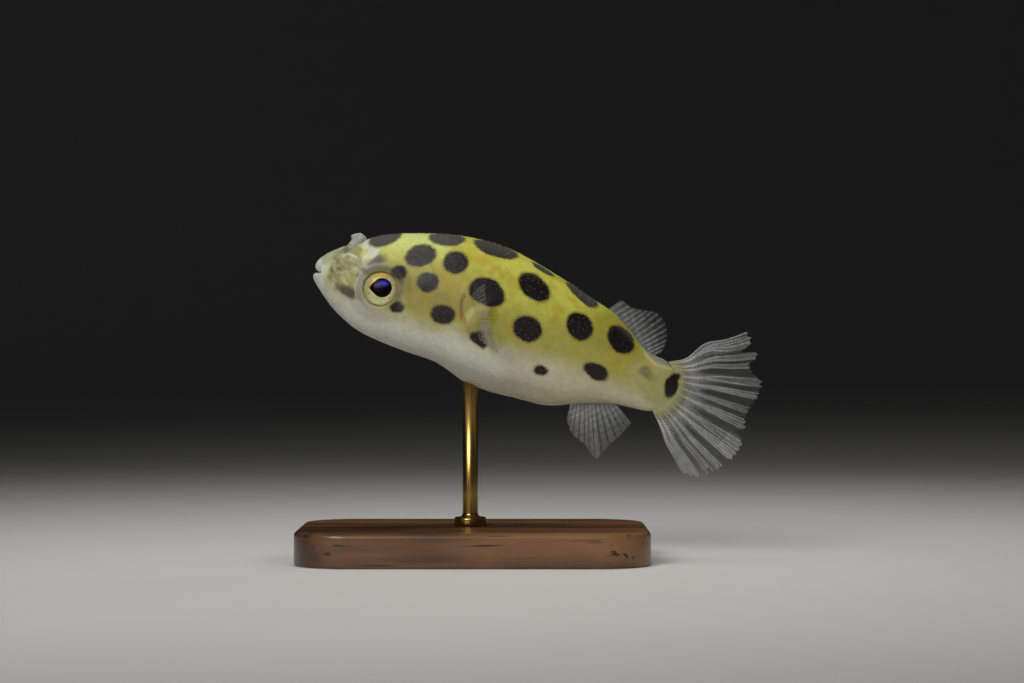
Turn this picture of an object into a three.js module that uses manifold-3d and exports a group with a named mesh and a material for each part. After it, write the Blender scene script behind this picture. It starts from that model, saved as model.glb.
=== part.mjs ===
// A green spotted pufferfish, life size, on a small display stand.
// Millimetres, +Z up. The origin is the centre of the stand base's underside, the snout
// points along -X and the left flank faces -Y.
//
// The fish is drawn in its own frame first: x runs from the snout to the tail along the
// body axis, z is up from that axis, and y is across. One closed body is lofted, then parted
// by thin cuts into lips, head, trunk, belly and tail stalk. Fins are fans of rays.
import * as THREE from "three";
import { mergeVertices } from "three/addons/utils/BufferGeometryUtils.js";
import Module from "manifold-3d";

const wasm = await Module();
wasm.setup();

// ---------------------------------------------------------------- driving dimensions

const degrees = THREE.MathUtils.degToRad;
const GAP = 0.3; // between neighbouring solids
const PITCH = degrees(17.9); // the snout is carried higher than the tail
const SNOUT_HEIGHT = 38; // body axis at the snout, above the floor
const SNOUT_X = -21; // ahead of the stand's centre

// Body stations: place along the axis, back height, belly height, height of the widest
// level, half width, squareness of the upper and lower half (2 is an ellipse).
const STATIONS = [
  [1.5, 3.4, -2.05, 0.2, 2.3, 2.2, 2.1],
  [3, 4.6, -3.25, 0.25, 3.2, 2.3, 2.1],
  [5, 5.95, -4.45, 0.3, 4.1, 2.4, 2.1],
  [7, 7.4, -5.35, 0.3, 4.75, 2.5, 2.1],
  [9, 8.35, -5.85, 0.3, 5.25, 2.5, 2.2],
  [12, 9.35, -6.2, 0.5, 5.9, 2.4, 2.3],
  [15, 10.15, -6.4, 0.8, 6.45, 2.3, 2.4],
  [18, 10.7, -6.45, 1.1, 6.8, 2.2, 2.6],
  [21, 10.95, -6.65, 1.2, 6.95, 2.2, 2.8],
  [24, 10.85, -7.05, 1.2, 6.8, 2.2, 2.9],
  [27, 10.4, -7.2, 1.1, 6.35, 2.2, 2.8],
  [30, 9.7, -6.95, 1.0, 5.75, 2.2, 2.7],
  [33, 8.95, -6.8, 0.9, 5.05, 2.1, 2.6],
  [36, 8.05, -6.6, 0.7, 4.3, 2.1, 2.4],
  [39, 7.2, -5.75, 0.5, 3.5, 2.0, 2.2],
  [42, 5.55, -4.75, 0.1, 2.7, 2.0, 2.1],
  [45, 3.6, -4.25, -0.25, 2.0, 2.0, 2.0],
  [48, 3.15, -3.95, -0.4, 1.4, 2.0, 2.0],
  [50.9, 2.7, -3.5, -0.4, 0.45, 2.0, 2.0],
];
const FLESH_END = 50.9;
const END_ROUNDING = 1.7; // the tail stalk's end is this much longer at mid height
const END_FROM = 46;

// The loose belly skin hangs below the flanks between these places along the axis.
const POUCH = { from: 18, full: 23.5, fade: 33, to: 38.5, depth: 0.85, spread: 0.42 };

// The mouth: a slit between two rolled lips.
const LIP_BACK = 1.5; // the lips join the snout here
const SLIT = { height: 0.14, front: 0.75, corner: 1.65, halfWidth: 1.65, open: 0.05, depth: 0.8 };
const LIP_PULL = { backUpper: 0.95, backLower: 1.35, upper: 1.9, lower: 1.45, corner: 0.35, spread: 0.3 };

const EYE = { x: 9.1, y: 4.45, z: 0.5, radius: 2.45, depth: 1.6, forward: 9, up: 6 };
const NOSTRIL = { x: 4.15, y: 1.7, z: 5.1, lean: 14, around: 12, droop: 0.3, rise: 0.15, back: 0.15 };
const NOSTRIL_RINGS = [ // height, half length, half width: a foot, a neck and a flared top
  [0, 0.75, 0.6],
  [0.5, 0.66, 0.5],
  [0.9, 0.82, 0.5],
  [1.3, 0.95, 0.46],
  [1.6, 0.66, 0.32],
];

const CUTS = { head: 20.2, tail: 40.5, bellyTop: -5.0 };

const AROUND = 28; // body points in a ring
const SLICES = 36; // body rings from lips to tail stalk
const LIP_RINGS = 5;

const BASE = { length: 46, width: 31, height: 4.5, corner: 7, chamfer: 0.7 };
const THICK = { root: 0.9, edge: 0.5, ridge: 0.12 }; // of a fin's web, and its rays on top

const ROD = { radius: 1.0, atX: -0.4, collarRadius: 2.1, collarHeight: 1.2, flare: 0.5 };

// ---------------------------------------------------------------- small helpers

const NUDGE = 1e-3; // a small step for measuring slopes
const clamp01 = (t) => Math.min(1, Math.max(0, t));
const lerp = (a, b, t) => a + (b - a) * t;

function smooth(from, to, x) {
  const t = clamp01((x - from) / (to - from));
  return t * t * (3 - 2 * t);
}

// A smooth curve through [x, value] knots, with slopes taken from the neighbouring knots.
function curveThrough(knots) {
  const last = knots.length - 1;
  const slope = knots.map((_, i) => {
    const a = knots[Math.max(0, i - 1)];
    const b = knots[Math.min(last, i + 1)];
    return (b[1] - a[1]) / (b[0] - a[0]);
  });
  return (x) => {
    let i = 0;
    while (i < last - 1 && x > knots[i + 1][0]) i += 1;
    const [x0, y0] = knots[i];
    const [x1, y1] = knots[i + 1];
    const w = x1 - x0;
    const t = clamp01((x - x0) / w);
    const t2 = t * t;
    const t3 = t2 * t;
    return (
      y0 * (2 * t3 - 3 * t2 + 1) +
      slope[i] * w * (t3 - 2 * t2 + t) +
      y1 * (3 * t2 - 2 * t3) +
      slope[i + 1] * w * (t3 - t2)
    );
  };
}

const column = (c) => curveThrough(STATIONS.map((row) => [row[0], row[c]]));
const [backHeight, bellyHeight, midHeight, halfWidth, upperSquare, lowerSquare] = [1, 2, 3, 4, 5, 6].map(column);

// Triangles between neighbouring rings of points, rings[i][j], closed round j.
function ringTriangles(rings) {
  const n = rings[0].length;
  const index = [];
  for (let j = 0; j < n; j += 1) {
    const k = (j + 1) % n;
    for (let i = 0; i + 1 < rings.length; i += 1) {
      const [a, b, c, d] = [i * n + j, i * n + k, (i + 1) * n + k, (i + 1) * n + j];
      index.push(a, b, c, a, c, d);
    }
  }
  return index;
}

// Rings closed by a fan of triangles to a point at each end.
function closedGrid(rings, startCap, endCap) {
  const n = rings[0].length;
  const [start, end, last] = [rings.length * n, rings.length * n + 1, (rings.length - 1) * n];
  const index = ringTriangles(rings);
  for (let j = 0; j < n; j += 1) {
    const k = (j + 1) % n;
    index.push(start, k, j);
    index.push(end, last + j, last + k);
  }
  return indexed([...rings.flat(), startCap, endCap].flat(), index);
}

// Rings round a thin sheet, each running out along one face and back along the other,
// closed at both ends by the narrow strip between the two faces.
function sheetGrid(rings) {
  const n = rings[0].length;
  const last = (rings.length - 1) * n;
  const index = ringTriangles(rings);
  for (let j = 0; j + 1 < n / 2; j += 1) {
    const [a, b, c, d] = [j, j + 1, n - 2 - j, n - 1 - j];
    index.push(b, a, d, b, d, c);
    index.push(last + a, last + b, last + c, last + a, last + c, last + d);
  }
  return indexed(rings.flat(2), index);
}

function indexed(positions, index) {
  const geometry = new THREE.BufferGeometry();
  geometry.setAttribute("position", new THREE.Float32BufferAttribute(positions, 3));
  geometry.setIndex(index);
  return geometry;
}

// Turns every triangle over when a closed geometry is inside out.
function facingOut(geometry) {
  const index = geometry.index.array;
  const corner = (i) => new THREE.Vector3().fromBufferAttribute(geometry.attributes.position, index[i]);
  let volume = 0;
  for (let i = 0; i < index.length; i += 3) {
    volume += corner(i).dot(corner(i + 1).cross(corner(i + 2)));
  }
  for (let i = 0; volume < 0 && i < index.length; i += 3) {
    [index[i + 1], index[i + 2]] = [index[i + 2], index[i + 1]];
  }
  return geometry;
}

// A closed geometry as a solid that can be joined and cut, and back again.
function solid(geometry) {
  const plain = geometry.clone();
  plain.deleteAttribute("normal");
  plain.deleteAttribute("uv");
  const merged = mergeVertices(plain, 1e-4);
  return new wasm.Manifold(
    new wasm.Mesh({
      numProp: 3,
      vertProperties: merged.attributes.position.array,
      triVerts: new Uint32Array(merged.index.array),
    }),
  );
}

function geometryOf(manifold) {
  const mesh = manifold.getMesh();
  const geometry = indexed(Array.from(mesh.vertProperties), Array.from(mesh.triVerts));
  geometry.computeVertexNormals();
  return geometry;
}

function block(low, high) {
  const size = high.map((v, i) => v - low[i]);
  const middle = high.map((v, i) => (v + low[i]) / 2);
  return solid(new THREE.BoxGeometry(...size).translate(...middle));
}

// ---------------------------------------------------------------- body

function pouchDrop(x) {
  const grown = smooth(POUCH.from, POUCH.full, x);
  return POUCH.depth * grown * (1 - smooth(POUCH.fade, POUCH.to, x));
}

// The body surface at a place along the axis and an angle from the back, with the skin
// moved outward by grow. Angles run from 0 at the back, past the left flank, to 2 pi.
function bodyPoint(x, angle, grow = 0) {
  const up = Math.cos(angle);
  const side = Math.sin(angle);
  const square = up > 0 ? upperSquare(x) : lowerSquare(x);
  const reach = (Math.abs(up) ** square + Math.abs(side) ** square) ** (-1 / square);
  const tall = (up > 0 ? backHeight(x) - midHeight(x) : midHeight(x) - bellyHeight(x)) + grow;
  const fromKeel = Math.PI - Math.abs(angle > Math.PI ? angle - 2 * Math.PI : angle);
  const drop = pouchDrop(x) * Math.exp(-((fromKeel / POUCH.spread) ** 2));
  const rounding = END_ROUNDING * up * up * smooth(END_FROM, FLESH_END, x);
  return [
    x - rounding,
    -(halfWidth(x) + grow) * side * reach,
    midHeight(x) + tall * up * reach - drop,
  ];
}

// One point of the lips: a Bezier from the snout, round the lip and into the slit.
function lipPoint(t, angle, grow) {
  const root = bodyPoint(LIP_BACK, angle, grow);
  const behind = bodyPoint(LIP_BACK + 0.15, angle, grow);
  const ahead = root.map((v, i) => v - behind[i]);
  const length = Math.hypot(...ahead);
  const inner = slitPoint(angle, 0);
  const middle = Math.abs(Math.cos(angle));
  const pull = lerp(LIP_PULL.corner, Math.cos(angle) > 0 ? LIP_PULL.upper : LIP_PULL.lower, middle);
  const back = lerp(LIP_PULL.backLower, LIP_PULL.backUpper, (1 + Math.cos(angle)) / 2);
  const a = root.map((v, i) => v + (ahead[i] / length) * back);
  const b = [
    inner[0] - pull - grow,
    inner[1] - Math.sin(angle) * LIP_PULL.spread,
    inner[2] + Math.cos(angle) * LIP_PULL.spread,
  ];
  const s = 1 - t;
  return root.map(
    (v, i) => s ** 3 * v + 3 * s * s * t * a[i] + 3 * s * t * t * b[i] + t ** 3 * inner[i],
  );
}

function slitPoint(angle, inside) {
  const side = Math.sin(angle);
  return [
    lerp(SLIT.front, SLIT.corner, side * side) + inside,
    -SLIT.halfWidth * side,
    SLIT.height + SLIT.open * Math.cos(angle),
  ];
}

function bodyGeometry(grow = 0) {
  const angles = Array.from({ length: AROUND }, (_, j) => (2 * Math.PI * j) / AROUND);
  const rings = [angles.map((a) => slitPoint(a, SLIT.depth))];
  for (let i = LIP_RINGS; i > 0; i -= 1) {
    rings.push(angles.map((a) => lipPoint(i / LIP_RINGS, a, grow)));
  }
  for (let i = 0; i <= SLICES; i += 1) {
    const x = lerp(LIP_BACK, FLESH_END, i / SLICES);
    rings.push(angles.map((a) => bodyPoint(x, a, grow)));
  }
  const inMouth = [SLIT.corner + SLIT.depth, 0, SLIT.height];
  const tailEnd = [FLESH_END + 0.1, 0, midHeight(FLESH_END)];
  return closedGrid(rings, inMouth, tailEnd);
}

const whole = solid(bodyGeometry());
const clearBody = solid(bodyGeometry(GAP)); // what other pieces are cut back from

function eyeGeometry(side, grow = 0) {
  const wide = EYE.radius + grow;
  const geometry = new THREE.SphereGeometry(1, 18, 10).rotateX(Math.PI / 2);
  geometry.scale(wide, wide, EYE.depth + grow); // the pupil looks along +Z here
  geometry.rotateX(degrees(90 - EYE.up));
  geometry.rotateZ(degrees(-EYE.forward));
  geometry.translate(EYE.x, -EYE.y, EYE.z);
  return side > 0 ? mirrored(geometry) : geometry;
}

// The same piece for the right side.
function mirrored(geometry) {
  return facingOut(geometry.clone().scale(1, -1, 1));
}

const SIDES = { left: -1, right: 1 };
const FAR = 100; // well clear of the fish
const eyeSockets = Object.values(SIDES).map((side) => solid(eyeGeometry(side, GAP)));
const between = (x0, x1) => block([x0, -FAR, -FAR], [x1, FAR, FAR]);

const front = whole.intersect(between(-FAR, LIP_BACK - GAP / 2));
const headWithSockets = whole.intersect(between(LIP_BACK + GAP / 2, CUTS.head - GAP / 2));
const middle = whole.intersect(between(CUTS.head + GAP / 2, CUTS.tail - GAP / 2));
const bodyPieces = {
  upper_lip: front.intersect(block([-FAR, -FAR, SLIT.height + GAP / 2], [FAR, FAR, FAR])),
  lower_lip: front.intersect(block([-FAR, -FAR, -FAR], [FAR, FAR, SLIT.height - GAP / 2])),
  head: eyeSockets.reduce((rest, socket) => rest.subtract(socket), headWithSockets),
  trunk: middle.intersect(block([-FAR, -FAR, CUTS.bellyTop + GAP / 2], [FAR, FAR, FAR])),
  belly: middle.intersect(block([-FAR, -FAR, -FAR], [FAR, FAR, CUTS.bellyTop - GAP / 2])),
  tail_stalk: whole.intersect(between(CUTS.tail + GAP / 2, FAR)),
};

// ---------------------------------------------------------------- fins

// A fin is a fan of rays. point(u, v) is its middle surface: u goes from the first ray to
// the last and v from the root to the edge. The solid is thickest at the root and on rays.
function finGeometry({ point, rays, columns, rows }) {
  const thickness = (u, v) =>
    lerp(THICK.root, THICK.edge, v) + THICK.ridge * Math.cos(Math.PI * rays * u) ** 2 * (1 - v / 2);
  const at = (u, v) => new THREE.Vector3(...point(u, v));
  const skin = (u, v, side) => {
    const along = at(u + NUDGE, v).sub(at(u - NUDGE, v));
    const out = at(u, v + NUDGE).sub(at(u, v - NUDGE));
    const normal = along.cross(out).normalize();
    return at(u, v).addScaledVector(normal, (side * thickness(u, v)) / 2).toArray();
  };
  const rings = [];
  const outward = Array.from({ length: rows + 1 }, (_, j) => j / rows);
  const inward = outward.toReversed();
  for (let i = 0; i <= columns; i += 1) {
    const u = i / columns;
    rings.push([...outward.map((v) => skin(u, v, 1)), ...inward.map((v) => skin(u, v, -1))]);
  }
  return facingOut(sheetGrid(rings));
}

const bell = (x, middleAt, width) => Math.exp(-(((x - middleAt) / width) ** 2));

// Tail fin: rays spread from the stalk's rounded end to a worn, notched edge.
const CAUDAL = {
  rays: 11,
  rootX: 47.4,
  rootZ: -0.3,
  rootRadius: 3.45,
  rootSpread: 78,
  tipX: 48.5,
  tipZ: -0.2,
  tipRadius: 13.0,
  topAngle: 51.3,
  bottomAngle: -60.7,
  hollow: { at: -1, width: 13, depth: 1.5 },
  notches: [
    [41.3, 2.0, 1.8],
    [31.5, 2.6, 1.3],
    [26.5, 3.6, 1.2],
    [-13.7, 2.2, 1.4],
    [-33, 1.7, 1.2],
    [-43.5, 1.5, 0.8],
  ],
  shortening: { from: -48, to: -61, depth: 1.4 },
  // The first and last rays bow outward halfway along, and the first dips near its root.
  // at and width are shares of the way from root to edge.
  swell: { top: 0.55, bottom: 0.25, at: 0.53, width: 0.16 },
  dip: { top: 0.45, bottom: 0, at: 0.2, width: 0.13 },
  wave: 0.45,
};

function caudalPoint(u, v) {
  const angle = lerp(CAUDAL.topAngle, CAUDAL.bottomAngle, u);
  const root = degrees(CAUDAL.rootSpread * (1 - 2 * u));
  const worn = CAUDAL.notches.reduce((sum, [at, width, depth]) => sum + depth * bell(angle, at, width), 0);
  const hollow = CAUDAL.hollow.depth * bell(angle, CAUDAL.hollow.at, CAUDAL.hollow.width);
  const { from, to, depth } = CAUDAL.shortening;
  const reach = CAUDAL.tipRadius - worn - hollow - depth * smooth(from, to, angle);
  const x0 = CAUDAL.rootX + CAUDAL.rootRadius * Math.cos(root);
  const z0 = CAUDAL.rootZ + CAUDAL.rootRadius * Math.sin(root);
  const x1 = CAUDAL.tipX + reach * Math.cos(degrees(angle));
  const z1 = CAUDAL.tipZ + reach * Math.sin(degrees(angle));
  const wave = CAUDAL.wave * v * v * Math.sin(degrees(angle * 2.4 + 30));
  const bow = ({ top, bottom, at, width }) => lerp(top, bottom, u) * bell(v, at, width);
  const outward = (bow(CAUDAL.swell) - bow(CAUDAL.dip)) * (1 - 2 * u) * Math.abs(1 - 2 * u);
  const [across, up] = [-Math.sin(degrees(angle)), Math.cos(degrees(angle))];
  return [lerp(x0, x1, v) + outward * across, wave, lerp(z0, z1, v) + outward * up];
}

// Dorsal and anal fins: the root follows the body's outline, and the edge is one curve.
const outline = (knots) => {
  const x = curveThrough(knots.map(([u, px]) => [u, px]));
  const z = curveThrough(knots.map(([u, , pz]) => [u, pz]));
  return (u) => [x(u), z(u)];
};
const DORSAL = {
  rays: 13,
  root: outline([[0, 38.0, 6.7], [0.5, 42.2, 4.3], [1, 45.3, 2.4]]),
  edge: outline([
    [0, 39.7, 8.95],
    [0.14, 41.3, 8.4],
    [0.3, 43.1, 8.55],
    [0.45, 44.7, 8.7],
    [0.62, 46.3, 7.6],
    [0.8, 47.0, 5.9],
    [1, 46.9, 4.0],
  ]),
  lean: 0.9,
};
const ANAL = {
  rays: 11,
  root: outline([[0, 37.4, -5.6], [0.5, 39.8, -4.4], [1, 42.0, -3.6]]),
  edge: outline([
    [0, 37.7, -8.2],
    [0.15, 38.9, -9.8],
    [0.35, 41.1, -10.8],
    [0.52, 43.0, -12.0],
    [0.64, 43.9, -10.2],
    [0.8, 45.1, -8.1],
    [1, 46.0, -6.1],
  ]),
  lean: 1.3,
};

function medianFinPoint(fin) {
  return (u, v) => {
    const [x0, z0] = fin.root(u);
    const [x1, z1] = fin.edge(u);
    const ripple = 0.16 * Math.sin(9 * u + 1);
    return [lerp(x0, x1, v), v * v * (fin.lean + ripple), lerp(z0, z1, v)];
  };
}

// Pectoral fins: short fans held out from the flank. Each triple is for the top ray, the
// middle ray and the bottom ray.
const PECTORAL = {
  rays: 15,
  rootTop: [20.9, 2.8],
  rootBottom: [23.5, -1.6],
  flank: 6.2,
  reach: [4.9, 6.7, 4.5],
  back: [1.1, 1.7, 3.0],
  rise: [2.5, 0.7, -1.1],
  bow: 1.2,
};

function pectoralPoint(u, v) {
  const arch = ([top, mid, bottom]) => lerp(top, bottom, u) + (mid - (top + bottom) / 2) * 4 * u * (1 - u);
  const [reach, back, rise] = [PECTORAL.reach, PECTORAL.back, PECTORAL.rise].map(arch);
  const x = lerp(PECTORAL.rootTop[0], PECTORAL.rootBottom[0], u);
  const z = lerp(PECTORAL.rootTop[1], PECTORAL.rootBottom[1], u);
  return [x + back * v - PECTORAL.bow * v * (1 - v), -PECTORAL.flank - reach * v, z + rise * v];
}

const finShapes = {
  dorsal_fin: finGeometry({ point: medianFinPoint(DORSAL), rays: DORSAL.rays, columns: 26, rows: 3 }),
  anal_fin: finGeometry({ point: medianFinPoint(ANAL), rays: ANAL.rays, columns: 26, rows: 3 }),
  caudal_fin: finGeometry({ point: caudalPoint, rays: CAUDAL.rays, columns: 56, rows: 5 }),
  pectoral_fin_left: finGeometry({ point: pectoralPoint, rays: PECTORAL.rays, columns: 24, rows: 4 }),
};
finShapes.pectoral_fin_right = mirrored(finShapes.pectoral_fin_left);

// ---------------------------------------------------------------- nostrils

// Each nostril is a short soft stalk with a flared, domed top that leans towards the tail.
function nostrilGeometry(side) {
  const lastRing = NOSTRIL_RINGS.length - 1;
  const rings = NOSTRIL_RINGS.map(([height, halfLength, breadth], i) => {
    const up = i / lastRing;
    return Array.from({ length: NOSTRIL.around }, (_, j) => {
      const angle = (2 * Math.PI * j) / NOSTRIL.around;
      const dip = NOSTRIL.droop * up * up * Math.cos(angle) ** 2;
      const tilt = NOSTRIL.rise * up * Math.cos(angle);
      const x = NOSTRIL.back * up + halfLength * Math.cos(angle);
      return [x, breadth * Math.sin(angle), height - dip + tilt];
    });
  });
  const [topHeight] = NOSTRIL_RINGS.at(-1);
  const shape = facingOut(closedGrid(rings, [0, 0, 0], [NOSTRIL.back, 0, topHeight]));
  shape.rotateX(degrees(-side * NOSTRIL.lean));
  return shape.translate(NOSTRIL.x, side * NOSTRIL.y, NOSTRIL.z);
}

// ---------------------------------------------------------------- stand

function baseGeometry() {
  const { length, width, corner, height, chamfer } = BASE;
  const [x, y] = [length / 2 - chamfer, width / 2 - chamfer];
  const shape = new THREE.Shape();
  shape.moveTo(-x + corner, -y);
  shape.lineTo(x - corner, -y);
  shape.absarc(x - corner, -y + corner, corner, -Math.PI / 2, 0);
  shape.lineTo(x, y - corner);
  shape.absarc(x - corner, y - corner, corner, 0, Math.PI / 2);
  shape.lineTo(-x + corner, y);
  shape.absarc(-x + corner, y - corner, corner, Math.PI / 2, Math.PI);
  shape.lineTo(-x, -y + corner);
  shape.absarc(-x + corner, -y + corner, corner, Math.PI, 1.5 * Math.PI);
  return new THREE.ExtrudeGeometry(shape, {
    depth: height - 2 * chamfer,
    bevelThickness: chamfer,
    bevelSize: chamfer,
    bevelSegments: 1,
    curveSegments: 5,
  }).translate(0, 0, chamfer);
}

// The rod's collar stands on the base, and its top follows the belly a gap below it.
function rodSolid(bodyInPlace) {
  const { radius, collarRadius, collarHeight, flare } = ROD;
  const top = SNOUT_HEIGHT;
  const profile = [
    [0, 0],
    [collarRadius, 0],
    [collarRadius, collarHeight - 0.3],
    [collarRadius - 0.3, collarHeight],
    [radius + flare, collarHeight],
    [radius, collarHeight + flare],
    [radius, top],
    [0, top],
  ].map(([r, z]) => new THREE.Vector2(r, z));
  const rod = new THREE.LatheGeometry(profile, 20).rotateX(Math.PI / 2).translate(ROD.atX, 0, BASE.height);
  const cutRod = solid(rod).subtract(bodyInPlace);
  return cutRod.decompose().sort((a, b) => a.boundingBox().min[2] - b.boundingBox().min[2])[0];
}

// ---------------------------------------------------------------- assembly

const finish = (color, roughness, metalness = 0) => new THREE.MeshStandardMaterial({ color, roughness, metalness });
const FINISHES = {
  skin: finish(0xbcb03a, 0.35),
  pale: finish(0xb9b6a6, 0.4),
  fin: finish(0xc9cbc4, 0.4),
  eye: finish(0x15151c, 0.1),
  wood: finish(0x4a3222, 0.5),
  brass: finish(0xb08d4a, 0.3, 1),
};

function named(name, manifold, material) {
  const mesh = new THREE.Mesh(geometryOf(manifold), material);
  mesh.name = name;
  return mesh;
}

const fish = new THREE.Group();
fish.rotation.y = PITCH;
fish.position.set(SNOUT_X, 0, SNOUT_HEIGHT);
const PALE = ["upper_lip", "lower_lip", "belly"];
for (const [name, piece] of Object.entries(bodyPieces)) {
  fish.add(named(name, piece, PALE.includes(name) ? FINISHES.pale : FINISHES.skin));
}
for (const [name, shape] of Object.entries(finShapes)) {
  fish.add(named(name, solid(shape).subtract(clearBody), FINISHES.fin));
}
for (const [name, side] of Object.entries(SIDES)) {
  fish.add(named(`eye_${name}`, solid(eyeGeometry(side)), FINISHES.eye));
  fish.add(named(`nostril_${name}`, solid(nostrilGeometry(side)).subtract(clearBody), FINISHES.skin));
}
fish.updateMatrixWorld(true);

const bodyInPlace = solid(bodyGeometry(GAP).applyMatrix4(fish.matrixWorld));
const model = new THREE.Group();
model.add(fish);
model.add(named("stand_base", solid(baseGeometry()), FINISHES.wood));
model.add(named("stand_rod", rodSolid(bodyInPlace), FINISHES.brass));

export default model;
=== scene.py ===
"""Looks of a green spotted pufferfish on a display stand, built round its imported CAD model.

The fish is worked out in its own frame, in millimetres: x runs from the snout to the tail
along the body axis, y is across with the left flank at -y, and z is up from that axis.
placed() turns and moves such points into the model's frame, in metres.
"""
import itertools
import math
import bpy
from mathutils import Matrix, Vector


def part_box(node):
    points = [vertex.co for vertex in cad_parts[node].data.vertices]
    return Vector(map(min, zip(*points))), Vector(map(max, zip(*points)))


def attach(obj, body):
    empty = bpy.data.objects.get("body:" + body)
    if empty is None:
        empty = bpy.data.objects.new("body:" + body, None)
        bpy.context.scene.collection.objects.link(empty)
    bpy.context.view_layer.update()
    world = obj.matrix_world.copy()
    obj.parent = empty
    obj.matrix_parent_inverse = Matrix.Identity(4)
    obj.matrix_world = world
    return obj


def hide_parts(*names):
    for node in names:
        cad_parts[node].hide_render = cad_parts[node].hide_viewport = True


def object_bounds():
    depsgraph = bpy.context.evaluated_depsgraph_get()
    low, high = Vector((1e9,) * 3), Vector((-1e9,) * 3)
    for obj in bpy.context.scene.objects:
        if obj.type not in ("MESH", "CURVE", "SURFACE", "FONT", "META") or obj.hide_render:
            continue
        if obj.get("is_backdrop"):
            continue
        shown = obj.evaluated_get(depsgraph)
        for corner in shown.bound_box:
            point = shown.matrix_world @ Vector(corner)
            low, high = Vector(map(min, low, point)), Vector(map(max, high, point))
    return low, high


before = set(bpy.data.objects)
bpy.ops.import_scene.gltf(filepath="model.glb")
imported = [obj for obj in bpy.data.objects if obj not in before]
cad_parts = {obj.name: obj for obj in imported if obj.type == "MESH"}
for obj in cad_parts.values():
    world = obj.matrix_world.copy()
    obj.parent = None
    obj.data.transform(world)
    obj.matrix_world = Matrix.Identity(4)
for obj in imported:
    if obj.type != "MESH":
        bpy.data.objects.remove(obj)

from types import SimpleNamespace as Sizes

import bpy
import numpy as np
from mathutils import Vector

CAD_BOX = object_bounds()

# ---------------------------------------------------------------- sizes, in millimetres

MM = 0.001
PITCH = math.radians(17.9)
SNOUT = np.array([-21.0, 0.0, 38.0])  # the fish frame's origin, in the model's frame
LEFT, RIGHT = -1, 1

# Place along the axis, back height, belly height, height of the widest level, half width,
# and squareness of the upper and lower half.
STATIONS = np.array([
    [1.5, 3.4, -2.05, 0.2, 2.3, 2.2, 2.1],
    [3, 4.6, -3.25, 0.25, 3.2, 2.3, 2.1],
    [5, 5.95, -4.45, 0.3, 4.1, 2.4, 2.1],
    [7, 7.4, -5.35, 0.3, 4.75, 2.5, 2.1],
    [9, 8.35, -5.85, 0.3, 5.25, 2.5, 2.2],
    [12, 9.35, -6.2, 0.5, 5.9, 2.4, 2.3],
    [15, 10.15, -6.4, 0.8, 6.45, 2.3, 2.4],
    [18, 10.7, -6.45, 1.1, 6.8, 2.2, 2.6],
    [21, 10.95, -6.65, 1.2, 6.95, 2.2, 2.8],
    [24, 10.85, -7.05, 1.2, 6.8, 2.2, 2.9],
    [27, 10.4, -7.2, 1.1, 6.35, 2.2, 2.8],
    [30, 9.7, -6.95, 1.0, 5.75, 2.2, 2.7],
    [33, 8.95, -6.8, 0.9, 5.05, 2.1, 2.6],
    [36, 8.05, -6.6, 0.7, 4.3, 2.1, 2.4],
    [39, 7.2, -5.75, 0.5, 3.5, 2.0, 2.2],
    [42, 5.55, -4.75, 0.1, 2.7, 2.0, 2.1],
    [45, 3.6, -4.25, -0.25, 2.0, 2.0, 2.0],
    [48, 3.15, -3.95, -0.4, 1.4, 2.0, 2.0],
    [50.9, 2.7, -3.5, -0.4, 0.45, 2.0, 2.0],
])
FLESH_END = 50.9
WIDE_END = 49.5  # the flank's breadth is measured no nearer the tail than this
END_ROUNDING, END_FROM = 1.7, 46.0
POUCH = Sizes(start=18.0, full=23.5, fade=33.0, end=38.5, depth=0.85, spread=0.42)

LIP_BACK = 1.5
SLIT = Sizes(height=0.14, front=0.75, corner=1.65, half_width=1.65, open=0.05, depth=0.8)
LIP_PULL = Sizes(back_upper=0.95, back_lower=1.35, upper=1.9, lower=1.45, corner=0.35, spread=0.3)

EYE = Sizes(x=9.35, y=4.45, z=0.45, radius=2.5, depth=1.6, forward=9.0, up=6.0)

AROUND = 228
HEAD_END = 14.0  # the skin's rings are closest as far as here
HEAD_RINGS, BODY_RINGS, LIP_RINGS = 150, 212, 36


# ---------------------------------------------------------------- numbers and curves

def smooth(start, end, x):
    t = np.clip((x - start) / (end - start), 0, 1)
    return t * t * (3 - 2 * t)


def fade(start, end, x):
    return 1 - smooth(start, end, x)


def bell(x, middle, width):
    return np.exp(-(((x - middle) / width) ** 2))


def lerp(a, b, t):
    return a + (b - a) * t


def curve(xs, ys):
    """A smooth curve through knots, with slopes taken from the neighbouring knots."""
    xs, ys = np.asarray(xs, float), np.asarray(ys, float)
    before = np.maximum(np.arange(len(xs)) - 1, 0)
    after = np.minimum(np.arange(len(xs)) + 1, len(xs) - 1)
    slopes = (ys[after] - ys[before]) / (xs[after] - xs[before])

    def value(x):
        i = np.clip(np.searchsorted(xs, x) - 1, 0, len(xs) - 2)
        width = xs[i + 1] - xs[i]
        t = np.clip((x - xs[i]) / width, 0, 1)
        rise = ys[i] * (2 * t**3 - 3 * t**2 + 1) + ys[i + 1] * (3 * t**2 - 2 * t**3)
        return rise + width * (slopes[i] * (t**3 - 2 * t**2 + t) + slopes[i + 1] * (t**3 - t**2))

    return value


def noise(points, size, seed):
    """Smooth random values from -1 to 1 at points, in lumps about size across."""
    cells = 32
    lattice = np.random.default_rng(seed).uniform(-1, 1, (cells,) * 3)
    scaled = np.asarray(points) / size
    cell = np.floor(scaled).astype(int)
    t = scaled - cell
    t = t * t * (3 - 2 * t)
    total = 0
    for corner in itertools.product((0, 1), repeat=3):
        ix, iy, iz = (((cell + corner) % cells)[..., k] for k in range(3))
        weights = [t[..., k] if corner[k] else 1 - t[..., k] for k in range(3)]
        total = total + lattice[ix, iy, iz] * weights[0] * weights[1] * weights[2]
    return total


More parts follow.
